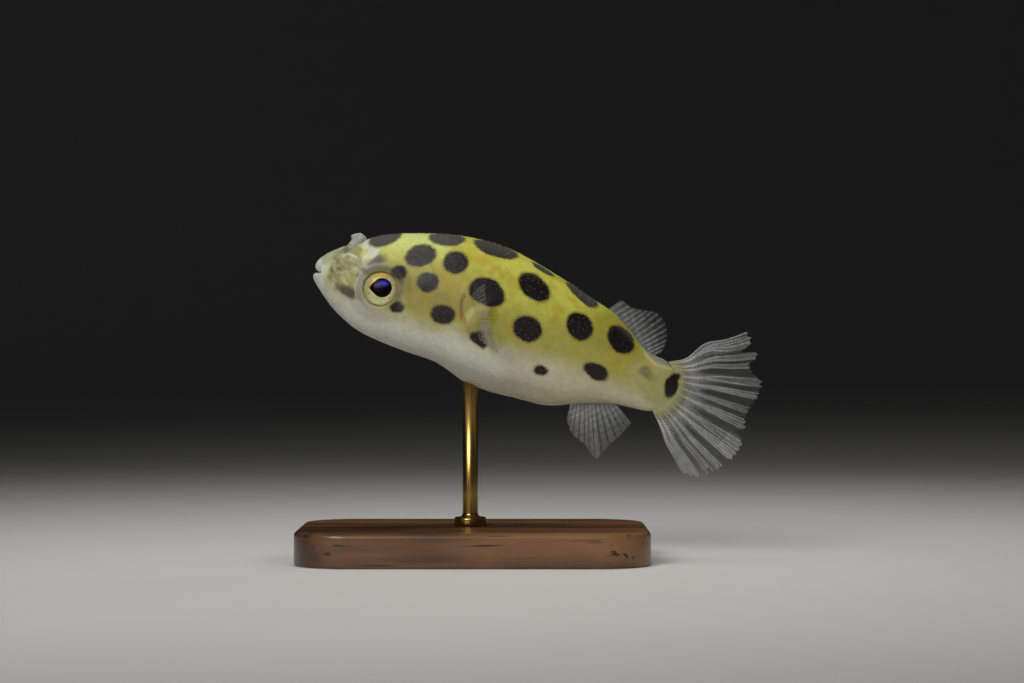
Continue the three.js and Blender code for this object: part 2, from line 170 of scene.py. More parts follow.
def distance_to_path(x, z, path):
    """How far side-view points lie from a line of straight stretches."""
    nearest = np.full(np.shape(x), np.inf)
    for (x0, z0), (x1, z1) in zip(path, path[1:]):
        run, climb = x1 - x0, z1 - z0
        t = np.clip(((x - x0) * run + (z - z0) * climb) / (run**2 + climb**2), 0, 1)
        nearest = np.minimum(nearest, np.hypot(x - x0 - t * run, z - z0 - t * climb))
    return nearest


def linear(hex_colour):
    """An sRGB colour such as "B9B9AA" as linear red, green and blue."""
    parts = [int(hex_colour[i:i + 2], 16) / 255 for i in (0, 2, 4)]
    return np.array([p / 12.92 if p <= 0.04045 else ((p + 0.055) / 1.055) ** 2.4 for p in parts])


def turns(count):
    """Angles evenly round a circle."""
    return np.arange(count) * 2 * math.pi / count


def placed(points):
    """Points of the fish frame in the model's frame, in metres."""
    x, y, z = np.moveaxis(np.asarray(points, float), -1, 0)
    turned = [
        x * math.cos(PITCH) + z * math.sin(PITCH),
        y,
        z * math.cos(PITCH) - x * math.sin(PITCH),
    ]
    return (np.stack(turned, -1) + SNOUT) * MM


# ---------------------------------------------------------------- meshes

def grid_faces(rows, columns):
    """Quads between closed rows of points, facing out when the columns turn leftward."""
    row = np.arange(rows - 1)[:, None] * columns
    column = np.arange(columns)[None, :]
    beside = (column + 1) % columns
    corners = [row + column, row + beside, row + columns + beside, row + columns + column]
    return np.stack(corners, -1).reshape(-1, 4)


def fan_faces(ring, tip, outward):
    """Triangles from a closed ring of points to one tip."""
    return [(a, b, tip) if outward else (b, a, tip) for a, b in zip(ring, np.roll(ring, -1))]


def capped(rings, first_tip, last_tip):
    """Points and faces of closed rings, with a fan of triangles to a tip at each end."""
    rows, columns = rings.shape[:2]
    count = rows * columns
    first = np.arange(columns)
    faces = grid_faces(rows, columns).tolist() + fan_faces(first, count, False)
    faces += fan_faces(first + count - columns, count + 1, True)
    return np.concatenate([rings.reshape(-1, 3), [first_tip, last_tip]]), faces


def add_object(name, data):
    added = bpy.data.objects.new(name, data)
    bpy.context.scene.collection.objects.link(added)
    return added


def add_mesh(name, points, faces, material):
    mesh = bpy.data.meshes.new(name)
    mesh.from_pydata(points.tolist(), [], [list(map(int, f)) for f in faces])
    mesh.shade_smooth()
    mesh.materials.append(material)
    return add_object(name, mesh)


def make_piece(name, points, faces, material, slot, fields=None):
    """A smooth mesh object from points in metres, riding on the model's one body."""
    piece = add_mesh(name, points, faces, material)
    for key, values in (fields or {}).items():
        if values.ndim == 2:
            colours = np.column_stack([values, np.ones(len(values))])
            layer = piece.data.attributes.new(key, "FLOAT_COLOR", "POINT")
            layer.data.foreach_set("color", colours.ravel())
        else:
            piece.data.attributes.new(key, "FLOAT", "POINT").data.foreach_set("value", values)
    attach(piece, "root")
    return piece


def lay_bake_map(piece, places):
    """Gives every face corner its place on the bake map."""
    layer = piece.data.uv_layers.new(name="OFBake")
    layer.data.foreach_set("uv", np.asarray(places, float).ravel())


# ---------------------------------------------------------------- the bare body

back_height, belly_height, mid_height, half_width, upper_square, lower_square = (
    curve(STATIONS[:, 0], STATIONS[:, k]) for k in range(1, 7)
)


def body_surface(x, angle):
    """The body at a place along the axis and an angle from the back, turning leftward."""
    up, side = np.cos(angle), np.sin(angle)
    square = np.where(up > 0, upper_square(x), lower_square(x))
    reach = (np.abs(up) ** square + np.abs(side) ** square) ** (-1 / square)
    middle = mid_height(x)
    tall = np.where(up > 0, back_height(x) - middle, middle - belly_height(x))
    grown = smooth(POUCH.start, POUCH.full, x) * fade(POUCH.fade, POUCH.end, x)
    drop = POUCH.depth * grown * bell(from_keel(angle), 0, POUCH.spread)
    rounding = END_ROUNDING * up**2 * smooth(END_FROM, FLESH_END, x)
    return np.stack([
        x - rounding,
        -half_width(x) * side * reach,
        middle + tall * up * reach - drop,
    ], -1)


def from_keel(angle):
    return math.pi - np.abs(np.where(angle > math.pi, angle - 2 * math.pi, angle))


def slit_ring(angle, inside):
    side = np.sin(angle)
    return np.stack([
        lerp(SLIT.front, SLIT.corner, side**2) + inside,
        -SLIT.half_width * side,
        SLIT.height + SLIT.open * np.cos(angle),
    ], -1)


def lip_surface(t, angle):
    """From the snout (t = 0) round a lip and into the mouth (t = 1), as a Bezier."""
    root = body_surface(np.full_like(angle, LIP_BACK), angle)
    ahead = root - body_surface(np.full_like(angle, LIP_BACK + 0.15), angle)
    ahead /= np.linalg.norm(ahead, axis=-1, keepdims=True)
    inner = slit_ring(angle, 0)
    full = np.where(np.cos(angle) > 0, LIP_PULL.upper, LIP_PULL.lower)
    pull = lerp(LIP_PULL.corner, full, np.abs(np.cos(angle)))
    spread = LIP_PULL.spread
    b = inner + np.stack([-pull, -np.sin(angle) * spread, np.cos(angle) * spread], -1)
    share = ((1 + np.cos(angle)) / 2)[..., None]
    a = root + ahead * lerp(LIP_PULL.back_lower, LIP_PULL.back_upper, share)
    s = 1 - t
    return s**3 * root + 3 * s * s * t * a + 3 * s * t * t * b + t**3 * inner


angles = turns(AROUND)
lip_steps = np.linspace(1, 0, LIP_RINGS, endpoint=False)
body_places = np.concatenate([
    np.linspace(LIP_BACK, HEAD_END, HEAD_RINGS, endpoint=False),
    np.linspace(HEAD_END, FLESH_END, BODY_RINGS),
])
skin = np.concatenate([
    slit_ring(angles, SLIT.depth)[None],
    slit_ring(angles, SLIT.depth / 2)[None],
    np.stack([lip_surface(t, angles) for t in lip_steps]),
    body_surface(body_places[:, None], angles[None, :]),
])
LIP_ROWS = 2 + LIP_RINGS


# ---------------------------------------------------------------- sculpting the skin

COAT_DEPTH = 0.12  # the skin lies this far inside the body, so the prickles end at its outline


def eye_axes(side):
    """An eye's centre, and its directions towards the tail, up and outward."""
    forward, up = math.radians(EYE.forward), math.radians(EYE.up)
    outward = np.array([
        -math.sin(forward) * math.cos(up),
        side * math.cos(forward) * math.cos(up),
        math.sin(up),
    ])
    tailward = np.array([math.cos(forward), side * math.sin(forward), 0])
    upward = np.cross(outward, tailward) * -side
    return np.array([EYE.x, side * EYE.y, EYE.z]), tailward, upward, outward


# Height of the socket's skin above the eye's middle plane, from the eye's axis outward.
SOCKET_RADII = [0, 1.7, 2.1, 2.24, 2.36, 2.48, 2.68, 2.98, 3.35, 4.4]
SOCKET_HEIGHTS = [-0.5, -0.3, 0.1, 0.5, 0.78, 0.88, 0.84, 0.80, 0.74, 0.6]
socket_height = curve(SOCKET_RADII, SOCKET_HEIGHTS)
eye_distance = np.full(skin.shape[:2], np.inf)
eye_angle = np.zeros(skin.shape[:2])  # round the eye, 0 towards the tail and 90 degrees up
for side in (LEFT, RIGHT):
    centre, tailward, upward, outward = eye_axes(side)
    offset = skin - centre
    lift = offset @ outward
    a, b = offset @ tailward, offset @ upward
    r = np.hypot(a, b)
    near = (lift > -2) & (skin[..., 1] * side > 0)
    pull = np.where(near, 1 - smooth(2.8, 4.5, r), 0)
    skin += (pull * (socket_height(r) - lift))[..., None] * outward
    eye_distance = np.where(near, r, eye_distance)
    eye_angle = np.where(near, np.arctan2(b, a), eye_angle)


def outward_normals(grid):
    """Unit normals of a grid closed round its columns."""
    along = np.gradient(grid, axis=0)
    round_about = np.roll(grid, -1, axis=1) - np.roll(grid, 1, axis=1)
    normals = np.cross(round_about, along)
    return normals / np.maximum(np.linalg.norm(normals, axis=-1, keepdims=True), 1e-9)


X, Y, Z = (skin[..., k].copy() for k in range(3))  # each place before its fine relief
half = AROUND // 2
arc = np.cumsum(np.linalg.norm(np.diff(skin[:, :half + 1], axis=1), axis=2), axis=1)
arc = np.concatenate([np.zeros((len(skin), 1)), arc], axis=1)
from_back = np.concatenate([arc, arc[:, half - 1:0:-1]], axis=1)  # over the skin, both sides
is_left = np.broadcast_to(angles[None, :] < math.pi, X.shape)
keel_angle = np.broadcast_to(from_keel(angles)[None, :], X.shape)
flank = smooth(0.3, 0.65, np.abs(Y) / half_width(np.clip(X, LIP_BACK, WIDE_END)))

gill_place = curve([-1.5, -0.4, 0.7, 2.0, 3.0], [22.1, 21.1, 20.4, 20.0, 20.1])
gill_path = [(float(gill_place(z)), float(z)) for z in np.linspace(-1.5, 3.0, 19)]
gill_distance = distance_to_path(X, Z, gill_path)
lip_mask = 1 - smooth(1.2, 1.75, X + 0.32 * Z + 0.5 * smooth(1, 2.4, Z))
lip_mask[:LIP_RINGS // 4] = 1


def ellipse(u, v, long, tall, tilt):
    """1 on an ellipse's edge and less inside it; long and tall are its half sizes."""
    c, s = math.cos(math.radians(tilt)), math.sin(math.radians(tilt))
    return np.hypot((u * c + v * s) / long, (v * c - u * s) / tall)


shoulder = ellipse(X - 22.3, Z - 0.7, 1.2, 3.0, -30)
relief = (
    0.42 * fade(0.3, 1.25, shoulder) * flank
    + 0.10 * bell(gill_distance, 0, 0.8) * flank
    - 0.34 * bell(gill_distance, 0, 0.15) * flank
    - 0.08 * bell(keel_angle, 0.56, 0.16) * smooth(18, 24, X) * fade(33, 38, X)
    - COAT_DEPTH * smooth(9, 13, X) * fade(42, 47, X)
    - 0.05 * bell(X, 1.7, 0.35) * smooth(0.8, 1.6, np.abs(Y))
    - 0.16 * bell(from_back, 0, 1.8) * bell(X, 8.5, 3)
    + 0.02 * np.sin(angles * 26)[None, :] * lip_mask * np.abs(np.cos(angles))[None, :]
    + 0.05 * noise(skin, 3.0, 1) * smooth(2, 5, X)
    + 0.022 * noise(skin, 0.9, 2)
    + 0.010 * noise(skin, 0.4, 3)
)
relief *= smooth(2.2, 3.0, eye_distance)
skin += relief[..., None] * outward_normals(skin)
skin_normals = outward_normals(skin)


# ---------------------------------------------------------------- markings

# Dark spots seen from the side: place, height, half length, half height, tilt in degrees
# (more lifts the tail end), and how three-lobed.
FLANK_SPOTS = [
    (10.9, 3.3, 1.0, 0.85, 10, 0.05),
    (12.1, -1.1, 0.85, 0.7, 30, 0.05),
    (12.9, 6.3, 2.0, 1.4, 30, 0.02),
    (17.55, 6.85, 1.65, 1.42, 10, 0.01),
    (14.9, 3.25, 1.4, 1.28, 0, 0.01),
    (18.05, -0.15, 1.6, 1.2, 16, 0.01),
    (22.6, 4.4, 2.35, 1.8, -4, 0.03),
    (23.5, -1.7, 1.25, 0.85, -22, 0.14),
    (28.25, 6.95, 2.25, 1.52, -24, 0.02),
    (29.1, 1.45, 1.95, 1.6, 0, 0.01),
    (35.5, 3.9, 1.98, 1.6, -32, 0.02),
    (41.2, 3.9, 2.05, 1.52, -27, 0.02),
    (32.4, -3.2, 0.85, 0.62, 8, 0.04),
    (39.4, -1.1, 1.75, 0.98, -10, 0.03),
    (49.5, 0.35, 1.65, 0.95, 82, 0.08),
]
# Spots on the back: place, distance over the skin to the left of the middle, half length,
# half width.
BACK_SPOTS = [
    (7.75, 2.2, 1.8, 2.45),
    (15.4, 2.45, 2.35, 2.2),
    (21.9, 2.5, 3.1, 2.2),
    (28.6, 2.1, 1.5, 0.85),
    (34.6, 1.5, 2.35, 1.6),
    (10.7, -1.9, 1.5, 1.3),
    (18.4, -2.4, 2.2, 1.8),
    (25.6, -2.3, 2.2, 1.7),
    (31.4, -1.9, 1.7, 1.4),
    (37.2, -1.5, 1.3, 1.1),
]
# Soft brownish smudges seen from the side, and one painted shadow under the pectoral fin: as spots,
# with a strength last.
SMUDGES_AND_SHADOW = [
    (3.1, 4.0, 0.8, 0.55, 25, 0.6),
    (7.75, 3.75, 1.35, 0.75, 44, 0.95),
    (5.35, -1.05, 1.85, 0.75, -8, 0.95),
    (6.4, 1.1, 0.4, 0.7, 60, 0.5),
    (6.1, 1.2, 0.32, 0.5, 60, 0.7),
    (45.5, 0.85, 0.95, 0.8, 0, 0.55),
    (46.3, 0.4, 0.5, 0.9, 80, 0.3),
    # a painted shadow under the lower end of the pectoral fin
    (24.6, -0.6, 0.45, 0.5, 0, 0.5),
]


def wobbling_edge(u, v, long, tall, tilt, lobes, seed):
    """Signed distance to a spot's edge in millimetres, negative inside it."""
    phase = np.random.default_rng(seed).uniform(0, 2 * math.pi, 4)
    turn = np.arctan2(v, u)
    ripple = 1 + lobes * np.sin(3 * turn + phase[0])
    for k, size in ((2, 0.03), (5, 0.012)):
        ripple = ripple + size * np.sin(k * turn + phase[k % 4])
    size = math.sqrt(long * tall)
    return (ellipse(u, v, long, tall, tilt) / ripple - 1) * size


NO_SPOT = 9.0  # a distance at which no spot shows
spot = np.full(X.shape, NO_SPOT)
jitter = np.random.default_rng(7)
for number, (x, z, long, tall, tilt, lobes) in enumerate(FLANK_SPOTS):
    edge = wobbling_edge(X - x, Z - z, long, tall, tilt, lobes, number)
    spot = np.where(is_left, np.minimum(spot, edge), spot)
    # The right flank has the same spots, each moved, tilted and resized a little.
    x2, z2 = x + jitter.uniform(-1.1, 1.1), z + jitter.uniform(-0.5, 0.5)
    grow = jitter.uniform(0.88, 1.12)
    u, v = X - x2, Z - z2
    edge = wobbling_edge(u, v, long * grow, tall * grow, -tilt, lobes, number + 50)
    spot = np.where(is_left, spot, np.minimum(spot, edge))
signed_back = np.where(is_left, from_back, -from_back)
for number, (x, leftward, long, wide) in enumerate(BACK_SPOTS):
    u, v = X - x, signed_back - leftward
    spot = np.minimum(spot, wobbling_edge(u, v, long, wide, 0, 0.03, number + 100))
spot = np.where(lip_mask > 0.5, NO_SPOT, spot)

# Spots high on the back are painted greyer, a painted sheen of light from above, most of all on the
# head.
rise = (Z - mid_height(X)) / (back_height(X) - mid_height(X))
painted_sheen = lerp(smooth(0.35, 1.0, rise), 0.6 * smooth(0.7, 1.0, rise), smooth(12, 22, X))

# Where the coloured flank meets the white belly.
BELLY_LINE = curve(
    [0, 2.5, 5, 8, 12.7, 17, 21, 25.2, 28.5, 32, 36, 40.3, 44.4, 48, 51],
    [-0.2, -0.9, -1.6, -2.0, -2.2, -2.5, -1.9, -2.5, -1.9, -1.6, -1.4, -2.0, -1.8, -2.2, -1.2],
)
COLOURS = dict(
    belly="C0C0B0", belly_rear="B8B194", flank="9A9744", back="B2B048", gold="A3922F",
    olive="877A3A", amber="A58A24", crown="CBD587", top="C3C054", rear="8A8632",
    snout="C0C39C", snout_olive="85824E", snout_brown="665D40", snout_gold="A39A42",
    film="7E7D74", lip="C3C8C0", streak="CDCEBC", ring="848677", ring_light="B4B6A4",
    brow_shade="4E4531", smudge_and_shadow="4B463A", gill="8A5A3C", stalk="97945F", shoulder="A09655",
    blush="A6976C", deep="857F20",
)
PAINT = {name: linear(code) for name, code in COLOURS.items()}
tint = np.broadcast_to(PAINT["belly"], skin.shape).copy()


def paint(colour, mask):
    global tint
    tint = lerp(tint, PAINT[colour], np.clip(mask, 0, 1)[..., None])


def ellipse_mask(x, z, long, tall, tilt):
    edge = ellipse(X - x, Z - z, long, tall, tilt)
    return fade(0.5, 1.3, edge + 0.22 * noise(skin, 0.7, 17)) * flank


def segment_mask(path, width, soft):
    return 1 - smooth(width, width + soft, distance_to_path(X, Z, path))


line = BELLY_LINE(X)
above = Z - line + 0.45 * noise(skin, 2.4, 11) + 0.2 * noise(skin, 0.8, 12)
cloud = noise(skin, 3.2, 13) + 0.5 * noise(skin, 1.3, 14)
top_share = smooth(0.55, 0.95, (Z - line) / (back_height(X) - line))

# Ground colours: white belly, yellow-green flank and back, cloudy gold and olive.
paint("belly_rear", smooth(22, 38, X))
paint("blush", smooth(-1.8, 0.2, above) * 0.35)
paint("flank", smooth(-1.0, 2.0, above) * 0.95)
paint("back", smooth(3.2, 7.0, above + 0.9 * cloud))
paint("gold", smooth(0.0, 0.9, cloud) * bell(above, 4.6, 3.0) * 0.6)
paint("olive", bell(X, 15.5, 5.5) * bell(Z, 2.6, 3.6) * (0.95 + 0.3 * cloud))
paint("top", top_share * (0.8 - 0.3 * cloud))
paint("crown", top_share * fade(14.5, 19, X) * 0.9)
paint("top", smooth(0.1, 0.9, cloud) * bell(X, 32.5, 3.2) * bell(Z, 5.6, 2.2) * 0.8)
paint("blush", smooth(0.1, 0.9, -cloud) * bell(above, 3.4, 2.4) * smooth(26, 34, X) * 0.6)
paint("rear", smooth(34, 38.5, X) * smooth(2.6, 5.2, above) * 0.85)
paint("stalk", smooth(42.5, 47, X) * smooth(-1.8, 0.8, above) * 0.85)
paint("olive", bell(X, 12.9, 1.3) * bell(Z, 1.6, 2.0) * 0.8)
patches = noise(skin, 1.7, 23) + 0.5 * noise(skin, 0.7, 24)
paint("amber", smooth(0.0, 0.8, patches) * smooth(1.0, 2.5, above) * smooth(11, 15, X) * 0.45)
paint("top", smooth(0.0, 0.8, -patches) * bell(Z, 6.6, 2.4) * smooth(12, 17, X) * 0.4)

# A clear grey film along the tail stalk's upper edge, and the cream line under it.
film_line = [(43.6, 4.6), (45.2, 2.9), (46.6, 2.15), (48.9, 2.3), (51, 2.3)]
film_height = np.interp(X, *np.array(film_line).T)
paint("film", smooth(43.5, 45, X) * smooth(0.1, 0.6, Z - film_height) * 0.9)
paint("streak", smooth(43, 44.5, X) * bell(Z - film_height, 0.0, 0.25) * 0.3)

# The snout: slanting olive and brown strokes, a ring behind the nostril, cream bands.
snout = 1 - smooth(4.8, 7.4, X - 0.12 * Z + 0.4 * noise(skin, 1.6, 15))
paint("snout", snout * smooth(-0.4, 0.8, above))
slant = np.stack([0.55 * X + 0.84 * Z, 0.26 * (Z - 1.5 * X), 0.3 * Y], -1)
lines = 0.5 + 0.35 * noise(slant, 0.3, 16) + 0.3 * noise(slant, 0.15, 22)
lines += 0.3 * noise(skin, 0.9, 25)
cheek = snout * smooth(-0.4, 0.6, above) * smooth(1.6, 2.4, X)
paint("snout_olive", cheek * (0.25 + 0.8 * lines) * fade(2.6, 4.2, Z))
paint("snout_brown", cheek * lines * bell(X, 2.9, 1.2) * bell(Z, 1.4, 1.3) * 1.3)
paint("snout_gold", cheek * lines * bell(X, 5.2, 1.6) * bell(Z, 0.5, 0.9) * 0.8)
nose_ring = ellipse(X - 4.7, Z - 3.1, 1.25, 1.1, 20)
paint("snout_brown", bell(nose_ring, 0.65, 0.4) * flank * 0.35)
paint("streak", bell(nose_ring, 1.06, 0.1) * flank * smooth(2.6, 3.6, Z) * 0.7)
paint("snout_olive", segment_mask([(3.4, 4.3), (4.9, 4.3)], 0.45, 0.45) * 0.75)
paint("snout_brown", segment_mask([(0.9, 1.8), (2.2, 3.3)], 0.2, 0.7) * 0.4)
paint("streak", 0.8 * segment_mask([(3.9, 3.6), (4.9, 3.55)], 0.05, 0.22))
paint("streak", 0.9 * segment_mask([(5.7, 5.7), (7.0, 5.2), (6.9, 4.6), (6.2, 4.2)], 0.3, 0.5))
paint("top", 0.7 * segment_mask([(5.8, 4.6), (5.6, 4.1)], 0.15, 0.4))

# Smudges and the painted shadow under the pectoral fin, the ring round the eye with painted shade
# over it, gill opening, shoulder and lips.
for *place, strength in SMUDGES_AND_SHADOW:
    paint("smudge_and_shadow", strength * ellipse_mask(*place))
ring = bell(eye_distance, 2.85, 0.5)
front_share = smooth(-0.2, 0.8, -np.cos(eye_angle))
paint("ring", ring * (0.3 + 0.6 * front_share))
paint("ring_light", bell(eye_distance, 3.3, 0.12) * front_share * 0.6)
# Painted shade: a dark arc over the eye and round its tail side, where the socket's rim shades the
# skin.
brow_shade = smooth(0.35, 0.9, eye_angle) * fade(2.5, 3.0, eye_angle)
paint("brow_shade", bell(eye_distance, 2.78, 0.38) * brow_shade * 0.95)
paint("brow_shade", bell(eye_distance, 3.1, 0.3) * bell(eye_angle, 0.75, 0.45) * 0.8)
paint("brow_shade", bell(eye_distance, 2.6, 0.3) * bell(eye_angle, -0.2, 0.7) * 0.5)
paint("smudge_and_shadow", ellipse_mask(6.55, 2.15, 0.3, 0.55, 70) * 0.7)
paint("gill", 0.55 * bell(gill_distance, 0.05, 0.34) * flank * smooth(-1.8, 0.0, Z))
paint("shoulder", 0.85 * fade(0.5, 1.2, shoulder) * flank)
paint("deep", 0.7 * ellipse_mask(24.3, 1.4, 0.7, 1.4, 12))
paint("lip", lip_mask * (0.85 + 0.15 * noise(skin, 0.9, 18)))
tint *= (1 + 0.07 * noise(skin, 0.5, 19))[..., None]


# ---------------------------------------------------------------- materials

class Nodes:
    """A material under construction, with short names for what its nodes are fed."""

    def __init__(self, name):
        self.material = bpy.data.materials.new(name)
        self.material.use_nodes = True
        self.tree = self.material.node_tree
        self.shader = self.tree.nodes["Principled BSDF"]
        self.output = self.tree.nodes["Material Output"]

    def add(self, kind, settings=None, **sockets):
        node = self.tree.nodes.new(kind)
        for key, value in (settings or {}).items():
            setattr(node, key, value)
        for key, value in sockets.items():
            self.feed(node, key.replace("_", " "), value)
        return node

    def feed(self, node, socket, value):
        """Links a socket's output, or sets a colour's code or a plain value."""
        target = node.inputs[int(socket)] if socket.isdigit() else node.inputs[socket]
        if isinstance(value, bpy.types.NodeSocket):
            self.tree.links.new(value, target)
        elif isinstance(value, str):
            target.default_value = (*linear(value), 1.0)
        else:
            target.default_value = value

    def set(self, **sockets):
        for key, value in sockets.items():
            self.feed(self.shader, key.replace("_", " "), value)

    def attribute(self, name, output="Fac"):
        return self.add("ShaderNodeAttribute", dict(attribute_name=name)).outputs[output]

    def noise(self, per_mm, detail, stretch=(1, 1, 1)):
        """Lumps about 1 / per_mm millimetres across, from 0 to 1."""
        place = self.add("ShaderNodeTexCoord").outputs["Object"]
        place = self.add("ShaderNodeMapping", Vector=place, Scale=stretch).outputs[0]
        made = self.add("ShaderNodeTexNoise", Vector=place, Scale=per_mm / MM, Detail=detail)
        return made.outputs["Fac"]

    def ramp(self, value, low, high, to_low=0.0, to_high=1.0):
        node = self.add("ShaderNodeMapRange", dict(interpolation_type="SMOOTHSTEP"))
        for socket, v in zip(range(5), (value, low, high, to_low, to_high)):
            self.feed(node, str(socket), v)
        return node.outputs[0]

    def math(self, operation, a, b):
        node = self.add("ShaderNodeMath", dict(operation=operation))
        self.feed(node, "0", a)
        self.feed(node, "1", b)
        return node.outputs[0]

    def brighten(self, colour, value):
        return self.add("ShaderNodeHueSaturation", Color=colour, Value=value).outputs[0]

    def mix(self, factor, a, b):
        node = self.add("ShaderNodeMix", dict(data_type="RGBA"))
        self.feed(node, "0", factor)
        self.feed(node, "6", a)
        self.feed(node, "7", b)
        return node.outputs[2]

    def bump(self, height, depth, strength, **under):
        """Relief this many metres deep, over any Normal that is already there."""
        node = self.add("ShaderNodeBump", Height=height, Distance=depth, Strength=strength, **under)
        return node.outputs[0]


def skin_material():
    """Wet thin skin: painted ground colour, crisp dark spots with a painted sheen high on the back,
    fine grain.
    """
    m = Nodes("wet_skin")
    edge = m.math("ADD", m.attribute("spot"), m.ramp(m.noise(1.8, 5), 0.2, 0.8, -0.09, 0.09))
    in_spot = m.ramp(edge, 0.17, -0.17)
    grain = m.noise(3.2, 5)
    fleck = m.ramp(m.noise(2.4, 2), 0.64, 0.78)
    dark = m.mix(m.ramp(grain, 0.3, 0.75), "0C0B09", "1A1814")
    # Painted sheen: spots high on the back are mixed towards a paler grey, as if lit from above.
    dark = m.mix(m.attribute("painted_sheen"), dark, "57554F")
    dark = m.mix(m.math("MULTIPLY", fleck, 0.2), dark, "7A765E")
    rim = m.math("MULTIPLY", m.ramp(edge, 0.38, 0.05), 0.5)
    ground = m.brighten(m.attribute("tint", "Color"), m.ramp(grain, 0.25, 0.8, 0.92, 1.08))
    ground = m.mix(rim, ground, "5E4F22")
    m.set(Base_Color=m.mix(in_spot, ground, dark))
    m.set(Subsurface_Weight=0.15, Subsurface_Scale=0.0005)
    m.set(Subsurface_Radius=(1.0, 0.8, 0.4))
    m.set(Roughness=m.ramp(grain, 0.2, 0.8, 0.44, 0.62))
    m.set(Specular_IOR_Level=0.35, Coat_Weight=0.1, Coat_Roughness=0.25)
    pores = m.bump(m.noise(5.5, 4), 0.00006, 0.5)
    m.set(Normal=m.bump(m.noise(1.3, 3), 0.0001, 0.4, Normal=pores))
    return m.material


def prickle_material():
    """Tiny spines, the colour of the skin that they stand in but paler."""
    m = Nodes("prickles")
    shade = m.ramp(m.noise(0.8, 2), 0.3, 0.7, 0.85, 1.15)
    m.set(Base_Color=m.brighten(m.attribute("tint", "Color"), shade))
    m.set(Roughness=0.5, Specular_IOR_Level=0.35, Subsurface_Weight=0.1, Subsurface_Scale=0.0003)
    return m.material


def fin_material():
    """A clear web and milky, cross-banded rays; cover says how much of each spot is solid."""
    m = Nodes("fin_web")
    bands = m.ramp(m.math("SINE", m.attribute("joints"), 0.0), -0.9, 0.9, 0.81, 1.08)
    cloudy = m.ramp(m.noise(1.3, 4), 0.25, 0.8, 0.75, 1.25)
    m.set(Base_Color=m.mix(m.attribute("milky"), m.attribute("tint", "Color"), "D0D0CB"))
    cover = m.math("MULTIPLY", m.math("MULTIPLY", m.attribute("cover"), cloudy), bands)
    m.set(Alpha=m.math("MINIMUM", m.math("MAXIMUM", cover, m.attribute("flesh")), 1.0))
    m.set(Roughness=0.55, Specular_IOR_Level=0.2)
    m.set(Normal=m.bump(m.noise(4, 3), 0.00003, 0.3))
    return m.material


def eyeball_material():
    m = Nodes("iris_and_lens")
    streaks = m.ramp(m.noise(2.4, 5), 0.25, 0.8, 0.8, 1.18)
    m.set(Base_Color=m.brighten(m.attribute("tint", "Color"), streaks))
    m.set(Metallic=m.math("MULTIPLY", m.attribute("sheen"), 0.5))
    m.set(Roughness=0.34, Specular_IOR_Level=0.05)
    m.set(Normal=m.bump(m.noise(6, 3), 0.00003, 0.4))
    return m.material


def cornea_material():
    """A clear front: only its gloss is seen."""
    m = Nodes("clear_cornea")
    m.tree.nodes.remove(m.shader)
    clear = m.add("ShaderNodeBsdfTransparent")
    gloss = m.add("ShaderNodeBsdfGlossy", Roughness=0.1, Color="A0A0FF")
    share = m.add("ShaderNodeFresnel", IOR=1.33).outputs[0]
    mixed = m.add("ShaderNodeMixShader")
    m.feed(mixed, "0", m.math("MINIMUM", share, 0.004))
    m.feed(mixed, "1", clear.outputs[0])
    m.feed(mixed, "2", gloss.outputs[0])
    m.tree.links.new(mixed.outputs[0], m.output.inputs["Surface"])
    return m.material


def walnut_material():
    m = Nodes("walnut")
    warp = m.noise(0.06, 3)
    rings = m.noise(0.18, 6, (0.10, 1, 1))
    pores = m.noise(1.5, 2, (0.05, 1, 1))
    figure = m.math("ADD", m.math("MULTIPLY", rings, 0.8), m.math("MULTIPLY", warp, 0.35))
    colour = m.mix(m.ramp(figure, 0.4, 0.75), "3A2416", "7A5434")
    colour = m.mix(m.ramp(pores, 0.62, 0.72), colour, "24150C")
    m.set(Base_Color=colour, Roughness=m.ramp(rings, 0.3, 0.7, 0.32, 0.45))
    m.set(Coat_Weight=0.3, Coat_Roughness=0.2)
    m.set(Normal=m.bump(pores, 0.00004, 0.5))
    return m.material


def brass_material():
    m = Nodes("brass")
    brushed = m.noise(2.5, 3, (1, 1, 0.03))
    m.set(Base_Color=m.mix(m.ramp(brushed, 0.3, 0.7), "B08A45", "D2B06A"))
    m.set(Metallic=1.0, Roughness=m.ramp(brushed, 0.3, 0.7, 0.22, 0.36))
    m.set(Normal=m.bump(brushed, 0.00001, 0.3))
    return m.material


def floor_material():
    m = Nodes("pale_floor")
    m.set(Base_Color=m.mix(m.noise(0.03, 3), "CFCECA", "D6D5D1"), Roughness=0.7)
    return m.material


SKIN, PRICKLES, FIN = skin_material(), prickle_material(), fin_material()
EYEBALL, CORNEA = eyeball_material(), cornea_material()


# ---------------------------------------------------------------- skin and nostrils

NOSTRIL = Sizes(x=4.15, y=1.7, z=5.1, lean=14.0, droop=0.3, rise=0.15, back=0.15, top=1.6)
NOSTRIL_UP = [-0.7, 0, 0.25, 0.55, 0.95, 1.3, 1.5, 1.6]
nostril_length = curve(NOSTRIL_UP, [0.95, 0.78, 0.7, 0.68, 0.84, 0.93, 0.8, 0.5])
nostril_breadth = curve(NOSTRIL_UP, [0.75, 0.62, 0.52, 0.46, 0.45, 0.42, 0.34, 0.2])
NOSTRIL_ROWS, NOSTRIL_AROUND = 36, 48


